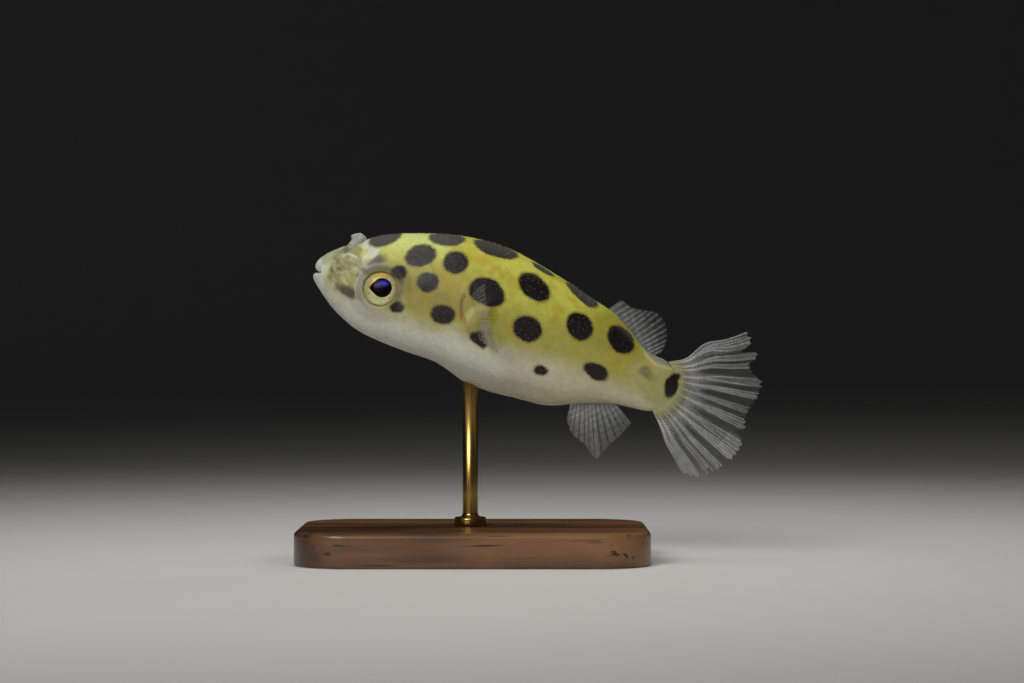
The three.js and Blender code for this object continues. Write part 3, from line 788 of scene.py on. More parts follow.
def nostril(side):
    """A soft stalk whose domed top is cleft into a front and a back lobe."""
    up = np.linspace(NOSTRIL_UP[0], NOSTRIL.top, NOSTRIL_ROWS)[:, None]
    turn = turns(NOSTRIL_AROUND)[None, :]
    share = np.clip(up / NOSTRIL.top, 0, 1)
    cleft = 1 - 0.45 * smooth(0.35, 0.8, share) * bell(np.cos(turn), 0.1, 0.28)
    x = nostril_length(up) * np.cos(turn) + NOSTRIL.back * share
    y = -nostril_breadth(up) * np.sin(turn) * cleft
    droop = NOSTRIL.droop * share**2 * np.cos(turn) ** 2
    z = up - droop + NOSTRIL.rise * share * np.cos(turn)
    lean = math.radians(NOSTRIL.lean) * side
    x, y, z = x, y * math.cos(lean) + z * math.sin(lean), z * math.cos(lean) - y * math.sin(lean)
    points = np.stack([x + NOSTRIL.x, y + side * NOSTRIL.y, z + NOSTRIL.z], -1)
    points += 0.03 * noise(points, 0.5, 21)[..., None]
    tip = points[-1].mean(0)
    points = np.concatenate([points.reshape(-1, 3), [tip]])
    faces = grid_faces(NOSTRIL_ROWS, NOSTRIL_AROUND)[:, ::-1].tolist()
    last_row = np.arange(NOSTRIL_AROUND) + (NOSTRIL_ROWS - 1) * NOSTRIL_AROUND
    return points, faces + fan_faces(last_row, len(points) - 1, False)


# Places on the bake map: the skin's rows run along it, its turns across, and each nostril
# has a patch of its own past the tail.
MAP = Sizes(start=0.01, length=0.92, turn=0.98, cap=0.008)
NOSTRIL_MAP = Sizes(start=0.945, row=0.0017, across=0.02, apart=0.45, column=0.01)


def build_skin():
    """One skin over lips, head, trunk, belly, tail stalk and nostrils."""
    mouth_end = [SLIT.corner + SLIT.depth, 0, SLIT.height]
    tail_end = [FLESH_END + 0.1, 0, float(mid_height(FLESH_END))]
    points, faces = capped(skin, mouth_end, tail_end)
    fields = {
        "spot": np.append(spot.ravel(), [NO_SPOT] * 2),
        "painted_sheen": np.append(painted_sheen.ravel(), [0, 0]),
        "tint": np.concatenate([tint.reshape(-1, 3), [PAINT["lip"], PAINT["stalk"]]]),
    }
    map_end = MAP.start + MAP.length
    run = np.linspace(MAP.start, map_end, len(skin))
    turn = np.linspace(MAP.start, MAP.start + MAP.turn, AROUND + 1)
    corner_rows, corner_turns = np.divmod(grid_faces(len(skin), AROUND), AROUND)
    wraps = (corner_turns == 0) & (corner_turns.max(axis=1, keepdims=True) == AROUND - 1)
    corner_turns = np.where(wraps, AROUND, corner_turns)
    places = [np.stack([run[corner_rows], turn[corner_turns]], -1).reshape(-1, 2)]
    for edge, tip in ((MAP.start, MAP.start - MAP.cap), (map_end, map_end + MAP.cap)):
        places.append(np.array([[u, turn[k]] for k in range(AROUND) for u in (edge, edge, tip)]))
    for number, side in enumerate((LEFT, RIGHT)):
        extra, extra_faces = nostril(side)
        shift = len(points)
        points = np.concatenate([points, extra])
        pale = lerp(linear("9A9C82"), linear("A4A9A2"), smooth(5.0, 5.6, extra[:, 2])[:, None])
        fields["spot"] = np.append(fields["spot"], np.full(len(extra), NO_SPOT))
        fields["painted_sheen"] = np.append(fields["painted_sheen"], np.zeros(len(extra)))
        fields["tint"] = np.concatenate([fields["tint"], pale])
        faces += [[i + shift for i in f] for f in extra_faces]
        row, column = np.divmod([i for f in extra_faces for i in f], NOSTRIL_AROUND)
        u = NOSTRIL_MAP.start + NOSTRIL_MAP.row * row
        v = NOSTRIL_MAP.across + NOSTRIL_MAP.apart * number + NOSTRIL_MAP.column * column
        places.append(np.stack([u, v], -1))
    piece = make_piece("fish_skin", placed(points), faces, SKIN, "skin", fields)
    lay_bake_map(piece, np.concatenate(places))
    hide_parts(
        "upper_lip", "lower_lip", "head", "trunk", "belly", "tail_stalk",
        "nostril_left", "nostril_right",
    )


build_skin()


# ---------------------------------------------------------------- prickles

# patch is each spine's share of the bake map, and sunk is how deep it is rooted.
PRICKLE = Sizes(
    spacing=0.66, radius=0.036, length=0.11, sides=5, lean=0.6, sunk=0.05, patch=0.003,
    start=11.5, fewer_from=36, end=42, off_eye=3.6, off_shoulder=1.5, off_gill=0.6,
)
PALE_PRICKLE = "97937A"  # in the dark spots


def prickle_roots(rng):
    """Rows and columns of the skin where spines stand, clear of eyes, shoulder and gill."""
    rows = np.arange(LIP_ROWS, len(skin))
    for place in np.arange(PRICKLE.start, PRICKLE.end, PRICKLE.spacing):
        row = rows[np.argmin(np.abs(body_places - place))]
        count = int(2 * from_back[row].max() / PRICKLE.spacing)
        for k in range(count):
            r = int(np.clip(row + rng.integers(-2, 3), LIP_ROWS, len(skin) - 2))
            c = int((k + rng.uniform(-0.35, 0.35)) / count * AROUND) % AROUND
            if (
                eye_distance[r, c] < PRICKLE.off_eye
                or shoulder[r, c] < PRICKLE.off_shoulder
                or gill_distance[r, c] < PRICKLE.off_gill
            ):
                continue
            if rng.random() >= smooth(PRICKLE.fewer_from, PRICKLE.end, X[r, c]):
                yield r, c


def build_prickles():
    """Short spines scattered over the trunk, each rooted in the skin and leaning back."""
    rng = np.random.default_rng(31)
    r, c = np.array(list(prickle_roots(rng))).T
    centres, normals, in_spot = skin[r, c], skin_normals[r, c], (spot[r, c] < 0)[:, None]
    tails = skin[r + 1, c] - centres
    tails /= np.linalg.norm(tails, axis=1, keepdims=True)
    sideways = np.cross(normals, tails)
    size = rng.uniform(0.75, 1.25, (len(centres), 1))
    wide = 1.25 + 0.35 * in_spot
    tips = centres + size * PRICKLE.length * (normals + PRICKLE.lean * tails)
    bases = centres - PRICKLE.sunk * normals
    sides = PRICKLE.sides
    rim_turns = [2 * math.pi * k / sides for k in range(sides)]
    points = [
        bases + size * PRICKLE.radius * wide * (math.cos(turn) * tails + math.sin(turn) * sideways)
        for turn in rim_turns
    ]
    points = np.concatenate([np.stack(points, 1), tips[:, None], bases[:, None]], axis=1)
    per = sides + 2
    half_patch = PRICKLE.patch / 2
    faces, uvs = [], []
    for n in range(len(centres)):
        u = MAP.start + MAP.length * r[n] / (len(skin) - 1)
        v = MAP.start + MAP.turn * c[n] / AROUND
        rim = [(u + half_patch * math.cos(t), v + half_patch * math.sin(t)) for t in rim_turns]
        for k in range(sides):
            j = (k + 1) % sides
            faces.append((n * per + k, n * per + j, n * per + sides))
            faces.append((n * per + j, n * per + k, n * per + sides + 1))
            uvs += [rim[k], rim[j], (u, v), rim[j], rim[k], (u, v)]
    colours = np.where(in_spot, linear(PALE_PRICKLE), tint[r, c] * 1.15)
    fields = {"tint": np.repeat(colours, per, axis=0)}
    points = placed(points.reshape(-1, 3))
    piece = make_piece("skin_prickles", points, faces, PRICKLES, "skin", fields)
    lay_bake_map(piece, uvs)


build_prickles()


# ---------------------------------------------------------------- eyes

PUPIL = Sizes(
    tailward=0.30, upward=0.16, radius=1.28, point_reach=1.95, point_angle=198.0, blunt=0.13
)
IRIS_RADIUS = 2.4  # where the eyeball goes under the skin
LENS, IRIS, BACK = 0.86, 0.87, 0.9  # how far out or back they lie, as shares of the eye's depth
CORNEA_THICK = 0.05
EYE_AROUND = 128


def turned_from(turn, degrees):
    """How far an angle has turned from a direction, from -pi to pi."""
    return (turn - math.radians(degrees) + math.pi) % (2 * math.pi) - math.pi


def pupil_edge(turn):
    """A round pupil drawn out to a point towards the snout."""
    widest = math.acos(PUPIL.radius / PUPIL.point_reach)
    off = np.sqrt(turned_from(turn, PUPIL.point_angle)**2 + PUPIL.blunt**2)
    return PUPIL.radius / np.cos(np.clip(widest - off, 0, None))


def dome(r):
    """Height of the clear front above the eye's middle plane."""
    return EYE.depth * np.sqrt(np.clip(1 - (r / EYE.radius) ** 2, 0, None))


IRIS_COLOURS = {name: linear(code) for name, code in dict(
    inner="D3D59A", body="CFC795", gold="E6C660", orange="CB9A4C", rim="8C7038",
    outer="A19A7A", brown="4A3A20", lid="858468", black="040406", violet_reflection="4446C8",
).items()}


def eyeball_colours(a, b, r, edge_distance):
    """Iris and lens colours from the place on the eye: a towards the tail and b up. They hold a
    painted shade arc at the iris's top and a painted violet reflection in the pupil.
    """
    turn = np.arctan2(b, a)
    colour = np.broadcast_to(IRIS_COLOURS["body"], (*np.shape(a), 3)).copy()

    def wash(name, mask):
        nonlocal colour
        colour = lerp(colour, IRIS_COLOURS[name], np.clip(mask, 0, 1)[..., None])

    def toward(degrees, width):
        return bell(turned_from(turn, degrees), 0, width)

    wash("inner", toward(-80, 1.6) * 0.9)
    wash("gold", toward(105, 0.75) * smooth(1.45, 1.8, r))
    wash("orange", toward(165, 0.6) * smooth(0.6, 0.1, edge_distance) * 0.8)
    wash("rim", toward(-82, 0.9) * smooth(2.02, 2.14, r) * 0.9)
    wash("gold", toward(-60, 0.6) * bell(r, 2.17, 0.07) * 0.6)
    wash("outer", toward(5, 0.6) * smooth(1.8, 2.2, r) * 0.7)
    wash("lid", toward(185, 0.9) * smooth(2.02, 2.16, r) * 0.8)
    # Painted shade: a dark brown arc along the top of the iris, under the socket's rim.
    wash("brown", toward(110, 1.1) * smooth(2.08, 2.2, r))
    wash("rim", smooth(2.24, 2.34, r) * 0.7)
    wash("orange", bell(edge_distance, 0.02, 0.07) * 0.6)
    wash("black", smooth(0.03, -0.03, edge_distance))
    # Painted reflection: a violet glint high in the pupil.
    painted_reflection = bell(ellipse(a - 0.35, b - 0.74, 0.52, 0.34, 18), 0, 0.9)
    wash("violet_reflection", painted_reflection * smooth(0.0, -0.2, edge_distance) * 0.9)
    return colour


def eye_shell(side, rows, front, back):
    """A closed shell on an eye's axes. A place is its parts towards the tail, up and outward."""
    centre, *directions = eye_axes(side)

    def on_eye(parts):
        return centre + sum(np.asarray(v)[..., None] * d for v, d in zip(parts, directions))

    points, faces = capped(on_eye(rows), on_eye(front), on_eye(back))
    return placed(points), [f[::-1] for f in faces] if side == LEFT else faces


def build_eye(side, name):
    turn = turns(EYE_AROUND)[None, :]
    c, s = np.cos(turn), np.sin(turn)
    edge = pupil_edge(turn)
    rows = []
    shift_a, shift_b = PUPIL.tailward, PUPIL.upward
    for t in np.linspace(0.02, 1, 16):  # the lens
        a, b = shift_a + edge * t * c, shift_b + edge * t * s
        rows.append((a, b, LENS * dome(np.hypot(a, b)) - 0.16 * smooth(0.75, 1.0, t)))
    for t in np.linspace(0, 1, 40):  # the iris
        a = lerp(shift_a + edge * c, IRIS_RADIUS * c, t)
        b = lerp(shift_b + edge * s, IRIS_RADIUS * s, t)
        rows.append((a, b, IRIS * dome(np.hypot(a, b)) - 0.06 * bell(t, 0, 0.04)))
    for t in np.linspace(0, 1, 14)[1:]:  # behind the skin
        wide = IRIS_RADIUS * math.sqrt(max(0.0, 1 - t**2)) + 0.02
        rows.append((wide * c, wide * s, np.full_like(turn, -t * EYE.depth * BACK)))
    a, b, out = (np.concatenate([row[k] for row in rows]) for k in range(3))
    offset_turn = np.arctan2(b - shift_b, a - shift_a)
    edge_distance = np.hypot(a - shift_a, b - shift_b) - pupil_edge(offset_turn)
    colour = eyeball_colours(a, b, np.hypot(a, b), edge_distance)
    fields = {
        "tint": np.concatenate([colour.reshape(-1, 3), [IRIS_COLOURS["black"]] * 2]),
        "sheen": np.append(smooth(0.0, 0.1, edge_distance).ravel(), [0, 0]),
    }
    shell = eye_shell(
        side, (a, b, out), (shift_a, shift_b, LENS * EYE.depth), (0, 0, -BACK * EYE.depth)
    )
    ball = make_piece(f"eyeball_{name}", *shell, EYEBALL, "eye", fields)
    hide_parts(f"eye_{name}")

    radii = np.linspace(0.05, IRIS_RADIUS, 30)[:, None]
    inner = radii[::-1]
    lifts = np.concatenate([dome(radii), dome(inner) - CORNEA_THICK])
    radii = np.concatenate([radii, inner])
    a, b = radii * c, radii * s
    tips = (0, 0, EYE.depth), (0, 0, EYE.depth - CORNEA_THICK)
    shell = eye_shell(side, (a, b, np.broadcast_to(lifts, a.shape)), *tips)
    make_piece(f"cornea_{name}", *shell, CORNEA, "eye")


build_eye(LEFT, "left")
build_eye(RIGHT, "right")


# ---------------------------------------------------------------- fins

THIN_WEB, THIN_LINE = 0.1, 0.09  # thickness of the clear web, and what a fine line adds
LINE_COVER = 0.17  # how much more solid a fine line is than the web


def build_fin(
    name, node, point, rays, columns, rows, tints, flesh, web, solid, thick_root=0.8,
    veil=0.2, band=0.4, fold=lambda u, v: 0, mark=None,
):
    """A thin web over a fan of branching rays.

    point(u, v) is the middle surface, from the first ray to the last and from root to
    edge. Each ray is its middle and its half spread at the edge, both as shares of u, the
    number of fine lines it splits into, and how solid it is. tints are the colours of the
    flesh at its root and of its web. flesh is how far the opaque flesh runs out, in mm.
    """
    u = np.linspace(0, 1, columns)[:, None]
    v = np.linspace(0, 1, rows)[None, :]
    middle = point(u, v)
    along_u = np.gradient(middle, axis=0)
    along_v = np.gradient(middle, axis=1)
    normals = np.cross(along_u, along_v)
    normals /= np.maximum(np.linalg.norm(normals, axis=-1, keepdims=True), 1e-9)
    width = np.linalg.norm(along_u, axis=-1) * (columns - 1)  # millimetres for all of u
    reach = np.cumsum(np.linalg.norm(along_v, axis=-1), axis=1)
    line, bundle, phase = (np.zeros(width.shape) for _ in range(3))
    for number, (centre, spread, lines, strength) in enumerate(rays):
        half = spread * lerp(1.7, 1.0, smooth(0.2, 0.9, v)) + 0.03 * fade(0.1, 0.45, v)
        inside = strength * fade(0.6, 1.3, np.abs(u - centre) / half)
        phase = np.where(inside > bundle, 1.7 * number + 14 * (u - centre), phase)
        bundle = np.maximum(bundle, inside)
        for place in np.linspace(-0.84, 0.84, lines) if lines > 1 else [0.0]:
            bend = spread * place * smooth(0.0, 0.85, v)
            off = (u - centre - bend) * width
            line = np.maximum(line, strength * bell(off, 0, lerp(0.13, 0.075, v)))
    fleshy = 1 - smooth(0.3 * flesh, 1.7 * flesh, reach - 0.3 * flesh * line)
    milky = np.clip(0.35 * bundle + 0.65 * line, 0, 1) * smooth(0.6 * flesh, 1.6 * flesh, reach)
    share = smooth(0.7 * flesh, 1.9 * flesh, reach)[..., None]
    tint = lerp(linear(tints[0]), linear(tints[1]), share)
    if mark is not None:
        dark = 1 - smooth(-0.15, 0.15, mark(middle))
        tint = lerp(tint, linear("16150F"), dark[..., None])
        fleshy = np.maximum(fleshy, dark)
        milky = milky * (1 - dark)
    cover = web + solid * bundle + LINE_COVER * line + fold(u, v)
    cover = cover + veil * fade(0.5, 5.0, reach)
    fields = dict(cover=cover, milky=milky, joints=reach * 2 * math.pi / band + phase, flesh=fleshy)
    thick = THIN_WEB + (thick_root - THIN_WEB) * fade(0.2 * flesh, 1.7 * flesh, reach)
    thick = thick + THIN_LINE * line * lerp(1.3, 0.7, v)
    thick = (thick * lerp(1, 0.6, smooth(0.92, 1.0, v)))[..., None]

    def two_faced(front, back):
        return np.concatenate([front, back[:, ::-1]], axis=1)

    points = two_faced(middle + normals * thick / 2, middle - normals * thick / 2).reshape(-1, 3)
    fields = {key: two_faced(value, value).ravel() for key, value in fields.items()}
    fields["tint"] = two_faced(tint, tint).reshape(-1, 3)
    around = rows * 2
    strip = np.arange(rows - 1)
    end = np.stack([strip, strip + 1, around - 2 - strip, around - 1 - strip], -1)
    faces = [grid_faces(columns, around), end, end[:, ::-1] + (columns - 1) * around]
    faces = np.concatenate(faces)
    if signed_volume(points, faces) < 0:
        faces = faces[:, ::-1]
    piece = make_piece(name, placed(points), faces, FIN, "fin", fields)
    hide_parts(node)


def signed_volume(points, quads):
    """Six times the volume inside quads: positive when they face outward."""
    a, b, c, d = (points[quads[:, k]] for k in range(4))
    return (np.cross(b, c) * a).sum() + (np.cross(c, d) * a).sum()


def sin_deg(angle):
    return np.sin(np.radians(angle))


def cos_deg(angle):
    return np.cos(np.radians(angle))


# Tail fin: rays spread from the stalk's rounded end to a worn, notched edge. Angles are in
# degrees above the body axis.
CAUDAL = Sizes(
    root_x=47.4, root_z=-0.3, root_long=2.6, root_tall=3.35, root_spread=78.0,
    tip_x=48.5, tip_z=-0.2, tip_radius=13.0, top=51.3, bottom=-60.7,
    hollow_at=-1.0, hollow_width=13.0, hollow_depth=1.5,
    short_from=-48.0, short_to=-61.0, short_depth=1.4,
    swell=Sizes(top=0.55, bottom=0.25, at=0.53, width=0.16),
    dip=Sizes(top=0.45, bottom=0, at=0.2, width=0.13),
)
# Angle, width and depth of each notch in its edge.
CAUDAL_NOTCHES = [
    (41.3, 2.0, 1.8), (31.5, 2.6, 1.3), (26.5, 3.6, 1.2), (-13.7, 2.2, 1.4), (-33, 1.7, 1.2),
    (-43.5, 1.5, 0.8),
]
# Angle, half spread, fine lines and solidness of each bundle of ray branches.
CAUDAL_RAYS = [
    (50.6, 0.7, 1, 0.85), (46.0, 3.6, 4, 1.0), (36.6, 2.2, 2, 0.9), (31.2, 1.6, 2, 0.85),
    (20.0, 2.8, 2, 0.9), (11.6, 2.0, 3, 0.75), (1.8, 2.2, 3, 0.6), (-7.6, 3.4, 4, 0.8),
    (-20.5, 3.2, 3, 0.75), (-27.5, 3.2, 4, 0.85), (-37.8, 2.1, 3, 0.8), (-43.8, 2.1, 3, 0.7),
    (-52.8, 3.1, 4, 0.85), (-58.4, 2.4, 3, 0.95),
]


def caudal_point(u, v):
    angle = lerp(CAUDAL.top, CAUDAL.bottom, u)
    root = CAUDAL.root_spread * (1 - 2 * u)
    worn = sum(depth * bell(angle, at, width) for at, width, depth in CAUDAL_NOTCHES)
    worn = worn + CAUDAL.hollow_depth * bell(angle, CAUDAL.hollow_at, CAUDAL.hollow_width)
    worn = worn + CAUDAL.short_depth * smooth(CAUDAL.short_from, CAUDAL.short_to, angle)
    frayed = 0.16 * np.sin(angle * 1.9) + 0.10 * np.sin(angle * 4.3 + 1)
    reach = CAUDAL.tip_radius - worn + frayed * smooth(0.7, 1, v)
    x0 = CAUDAL.root_x + CAUDAL.root_long * cos_deg(root)
    z0 = CAUDAL.root_z + CAUDAL.root_tall * sin_deg(root)
    x1 = CAUDAL.tip_x + reach * cos_deg(angle)
    z1 = CAUDAL.tip_z + reach * sin_deg(angle)
    wave = 0.45 * v * v * sin_deg(angle * 2.4 + 30)
    pleats = 0.16 * smooth(0.1, 0.8, v) * sin_deg(angle * 27)
    swell, dip = (
        lerp(bow.top, bow.bottom, u) * bell(v, bow.at, bow.width)
        for bow in (CAUDAL.swell, CAUDAL.dip)
    )
    outward = (swell - dip) * (1 - 2 * u) * np.abs(1 - 2 * u)
    x = lerp(x0, x1, v) - outward * sin_deg(angle)
    z = lerp(z0, z1, v) + outward * cos_deg(angle)
    return np.stack([x, wave + pleats, z], -1)


def caudal_spot(points):
    """The last flank spot runs on over the fin's root, but for the bases of two rays."""
    x, z, *shape = FLANK_SPOTS[-1]
    u, v = points[..., 0] - x, points[..., 2] - z
    edge = wobbling_edge(u, v, *shape, len(FLANK_SPOTS) - 1)
    return edge + 0.7 * bell(np.hypot(u - 1.0, v - 0.75), 0, 0.45)


caudal_range = CAUDAL.top - CAUDAL.bottom
caudal_rays = [
    ((CAUDAL.top - at) / caudal_range, spread / caudal_range, lines, strength)
    for at, spread, lines, strength in CAUDAL_RAYS
]


def caudal_fold(u, v):
    """Where the web is folded over itself near the edge, below the middle."""
    angle = lerp(CAUDAL.top, CAUDAL.bottom, u)
    start = 0.80 + 0.004 * (angle + 24)
    lobe = smooth(-31.5, -29.5, angle) * fade(-17, -15, angle)
    return lobe * (0.10 * smooth(start, start + 0.03, v) + 0.12 * bell(v, start, 0.018))


build_fin(
    "caudal_web", "caudal_fin", caudal_point, caudal_rays, 440, 56, ("939068", "8E908C"),
    flesh=1.5, web=0.055, solid=0.11, thick_root=1.3, veil=0.32, fold=caudal_fold,
    mark=caudal_spot,
)


def through(knots):
    share, xs, zs = np.array(knots).T
    x, z = curve(share, xs), curve(share, zs)
    return lambda u: (x(u), z(u))


DORSAL = Sizes(
    root=through([[0, 38.0, 6.7], [0.5, 42.2, 4.3], [1, 45.3, 2.4]]),
    edge=through([
        [0, 39.7, 8.95], [0.14, 41.3, 8.4], [0.3, 43.1, 8.55], [0.45, 44.7, 8.7],
        [0.62, 46.3, 7.6], [0.8, 47.0, 5.9], [1, 46.9, 4.0],
    ]),
    lean=0.9, ripple=0.16,
)
ANAL = Sizes(
    root=through([[0, 37.4, -5.6], [0.5, 39.8, -4.4], [1, 42.0, -3.6]]),
    edge=through([
        [0, 37.7, -8.2], [0.15, 38.9, -9.8], [0.35, 41.1, -10.8], [0.52, 43.0, -12.0],
        [0.64, 43.9, -10.2], [0.8, 45.1, -8.1], [1, 46.0, -6.1],
    ]),
    lean=1.3, ripple=0.16,
)


def median_fin_point(fin, count):
    def point(u, v):
        x0, z0 = fin.root(u)
        x1, z1 = fin.edge(u)
        ripple = fin.ripple * np.sin(9 * u + 1) + 0.1 * np.sin(2 * math.pi * count * u)
        x, z = lerp(x0, x1, v), lerp(z0, z1, v)
        return np.stack(np.broadcast_arrays(x, v * v * (fin.lean + ripple), z), -1)

    return point


def even_rays(count, spread, lines, first, last):
    """Rays the same distance apart, from one solidness to another."""
    return [
        ((k + 0.5) / count, spread / count, lines, lerp(first, last, k / (count - 1)))
        for k in range(count)
    ]


DORSAL_RAYS, ANAL_RAYS, PECTORAL_RAYS = 14, 12, 15
build_fin(
    "dorsal_web", "dorsal_fin", median_fin_point(DORSAL, DORSAL_RAYS),
    even_rays(DORSAL_RAYS, 0.24, 1, 0.25, 0.5), 300, 34, ("8C8A66", "7E807E"),
    flesh=0.7, web=0.05, solid=0.05, band=1.1, fold=lambda u, v: 0.07 * fade(0.1, 0.6, u),
)
build_fin(
    "anal_web", "anal_fin", median_fin_point(ANAL, ANAL_RAYS),
    even_rays(ANAL_RAYS, 0.34, 3, 0.7, 0.4), 300, 34, ("A3A090", "858783"),
    flesh=0.8, web=0.09, solid=0.07, band=0.9,
)

# Each triple is for the top ray, the middle ray and the bottom ray.
PECTORAL = Sizes(
    root_top=(20.9, 2.8), root_bottom=(23.5, -1.6), flank=5.9,
    reach=(5.2, 7.0, 4.8), back=(1.1, 1.7, 3.0), rise=(2.5, 0.7, -1.1), bow=1.2,
)


def arch(values, u):
    top, middle, bottom = values
    return lerp(top, bottom, u) + (middle - (top + bottom) / 2) * 4 * u * (1 - u)


def pectoral_point(side):
    def point(u, v):
        reach, back, rise = (arch(v3, u) for v3 in (PECTORAL.reach, PECTORAL.back, PECTORAL.rise))
        ends = zip(PECTORAL.root_top, PECTORAL.root_bottom)
        x, z = (lerp(top, bottom, u) for top, bottom in ends)
        frayed = 1 + 0.012 * np.sin(u * 95) * smooth(0.8, 1, v)
        x = x + back * v - PECTORAL.bow * v * (1 - v) + 0.08 * v * np.sin(u * 30 * math.pi)
        return np.stack([x, side * (PECTORAL.flank + reach * v * frayed), z + rise * v], -1)

    return point


for side, name in ((LEFT, "left"), (RIGHT, "right")):
    build_fin(
        f"pectoral_web_{name}", f"pectoral_fin_{name}", pectoral_point(side),
        even_rays(PECTORAL_RAYS, 0.3, 2, 0.35, 0.35), 260, 36, ("B0A26C", "968B7C"),
        flesh=0.9, web=0.07, solid=0.04, thick_root=0.5, veil=0, band=0.9,
        fold=lambda u, v: 0.3 * smooth(0.3, 0.8, u) * smooth(0.15, 0.55, v),
    )


# ---------------------------------------------------------------- stand

BASE = Sizes(length=46.0, width=31.0, height=4.5, corner=7.0, chamfer=0.7, face_inset=6.0)
ROD = Sizes(
    radius=1.0, at_x=-0.4, collar_radius=2.1, collar_height=1.2, rounding=0.3, flare=0.5,
    into_skin=0.55,
)
QUARTER = math.pi / 2


def rounded_rectangle(length, width, corner, steps=24):
    """Corner arcs of a rectangle, turning from +X towards +Y."""
    points = []
    for quarter, (sx, sy) in enumerate(((1, 1), (-1, 1), (-1, -1), (1, -1))):
        for k in range(steps + 1):
            turn = (quarter + k / steps) * math.pi / 2
            points.append((
                sx * (length / 2 - corner) + corner * math.cos(turn),
                sy * (width / 2 - corner) + corner * math.sin(turn),
            ))
    return np.array(points)


def build_base():
    c, h = BASE.chamfer, BASE.height
    arc = [(math.sin(QUARTER * k / 8), math.cos(QUARTER * k / 8)) for k in range(9)]
    rows = [(BASE.face_inset, 0.0)]  # inset from the outline, and height
    rows += [(c * (1 - rise) * 0.5, c * 0.5 * (1 - fall)) for rise, fall in arc]
    rows += [(c * (1 - fall), h - c * (1 - rise)) for rise, fall in arc]
    rings = []
    for inset, z in rows + [(BASE.face_inset, h)]:
        sides = BASE.length - 2 * inset, BASE.width - 2 * inset
        outline = rounded_rectangle(*sides, BASE.corner - inset)
        rings.append(np.column_stack([outline, np.full(len(outline), z)]))
    points, faces = capped(np.stack(rings), (0, 0, 0), (0, 0, h))
    piece = make_piece("walnut_base", points * MM, faces, walnut_material(), "stand_wood")
    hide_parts("stand_base")


def turned_rings(profile, steps, at_x=0.0):
    """Rings of a turned shape, from radius and height pairs."""
    turn = turns(steps)
    return np.stack([
        np.column_stack([r * np.cos(turn) + at_x, r * np.sin(turn), np.full(steps, z)])
        for r, z in profile
    ])


def build_rod():
    """The collar, its fillet and the rod, up into the belly's skin."""
    low, collar_top, edge, flare = BASE.height, ROD.collar_height, ROD.rounding, ROD.flare
    inner = ROD.collar_radius - edge
    foot = ROD.radius + flare
    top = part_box("stand_rod")[1].z / MM - low + ROD.into_skin
    profile = [(ROD.collar_radius, 0.0)]
    for t in np.linspace(0, QUARTER, 7):
        profile.append((inner + edge * math.cos(t), collar_top - edge + edge * math.sin(t)))
    for t in np.linspace(0, QUARTER, 9):
        profile.append((foot - flare * math.sin(t), collar_top + flare - flare * math.cos(t)))
    profile += [(ROD.radius, collar_top + 3), (ROD.radius, top)]
    rings = turned_rings([(r, z + low) for r, z in profile], 48, ROD.at_x)
    points, faces = capped(rings, (ROD.at_x, 0, low), (ROD.at_x, 0, top + low))
    piece = make_piece("brass_rod", points * MM, faces, brass_material(), "stand_brass")
    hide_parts("stand_rod")


build_base()
build_rod()


# ---------------------------------------------------------------- floor, light and camera

FLOOR_RADIUS, WALL_RISE, FLOOR_SIDES = 1.6, 1.2, 96
AT_FISH = (0.004, 0, 0.028)
# Softboxes with grids, so the floor falls off to dark behind the fish: place, width across,
# power, spread in degrees, colour, and whether it shows in glossy surfaces.
LIGHTS = dict(
    key=((-0.16, -0.32, 0.24), 0.22, 0.14, 60, (1.0, 0.98, 0.95), True),
    fill=((0.20, -0.38, 0.05), 0.30, 0.11, 70, (0.95, 0.97, 1.0), False),
    top=((0.0, 0.02, 0.42), 0.24, 0.10, 60, (1, 1, 1), False),
    rim=((0.22, 0.26, 0.20), 0.18, 0.02, 60, (1, 1, 1), False),
)
ROOM_COLOUR, ROOM_LIGHT = (0.8, 0.82, 0.85, 1), 0.018


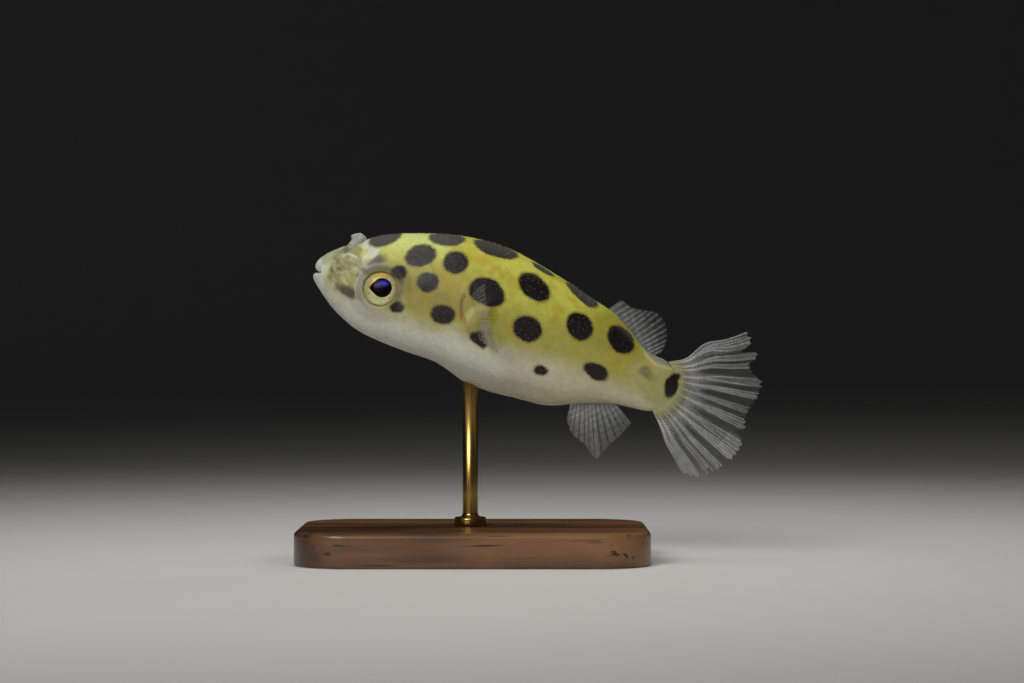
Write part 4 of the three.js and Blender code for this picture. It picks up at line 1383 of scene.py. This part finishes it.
def build_stage():
    """A round pale floor that curves up far from the fish, so there is no horizon line."""
    profile = [(r, 0.0) for r in np.linspace(0.02, FLOOR_RADIUS, 30)]
    for t in np.linspace(0.05, QUARTER, 24):
        profile.append((FLOOR_RADIUS + WALL_RISE * math.sin(t), WALL_RISE * (1 - math.cos(t))))
    rings = turned_rings(profile, FLOOR_SIDES)
    points = np.concatenate([rings.reshape(-1, 3), [[0, 0, 0]]])
    faces = grid_faces(*rings.shape[:2]).tolist()
    faces += fan_faces(np.arange(FLOOR_SIDES), len(points) - 1, False)
    add_mesh("floor", points, faces, floor_material())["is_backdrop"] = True


def build_lights():
    for name, (place, size, power, spread, colour, shines) in LIGHTS.items():
        light = bpy.data.lights.new(name, "AREA")
        light.shape, light.size, light.energy, light.color = "DISK", size, power, colour
        light.spread = math.radians(spread)
        lamp = add_object(name, light)
        lamp.location = place
        lamp.rotation_euler = (Vector(AT_FISH) - lamp.location).to_track_quat("-Z", "Y").to_euler()
        lamp.visible_glossy = shines
    world = bpy.data.worlds.new("dim_room")
    world.use_nodes = True
    background = world.node_tree.nodes["Background"]
    background.inputs["Color"].default_value = ROOM_COLOUR
    background.inputs["Strength"].default_value = ROOM_LIGHT
    bpy.context.scene.world = world
    bpy.context.scene.view_settings.view_transform = "Standard"


# The camera looks along +Y from the fish's left, level with it. Its frame is 135 mm wide at
# the fish, as in a 1024 by 683 picture at 7.583 pixels to the millimetre.
VIEW_CENTRE = (0.0051, 0.0, 0.0288)
CAMERA_DISTANCE = 0.375
FRAME_WIDTH = 0.135
SENSOR_WIDTH = 36.0


def build_camera():
    camera = bpy.data.cameras.new("camera")
    camera.sensor_width = SENSOR_WIDTH
    camera.lens = SENSOR_WIDTH * CAMERA_DISTANCE / FRAME_WIDTH
    camera.clip_start = 0.01
    eye = add_object("camera", camera)
    x, y, z = VIEW_CENTRE
    eye.location = (x, y - CAMERA_DISTANCE, z)
    eye.rotation_euler = (QUARTER, 0, 0)
    bpy.context.scene.camera = eye


build_stage()
build_lights()
build_camera()

sizes = {"cad_box": CAD_BOX, "visual_box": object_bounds()}
{key: [list(map(float, corner)) for corner in box] for key, box in sizes.items()}
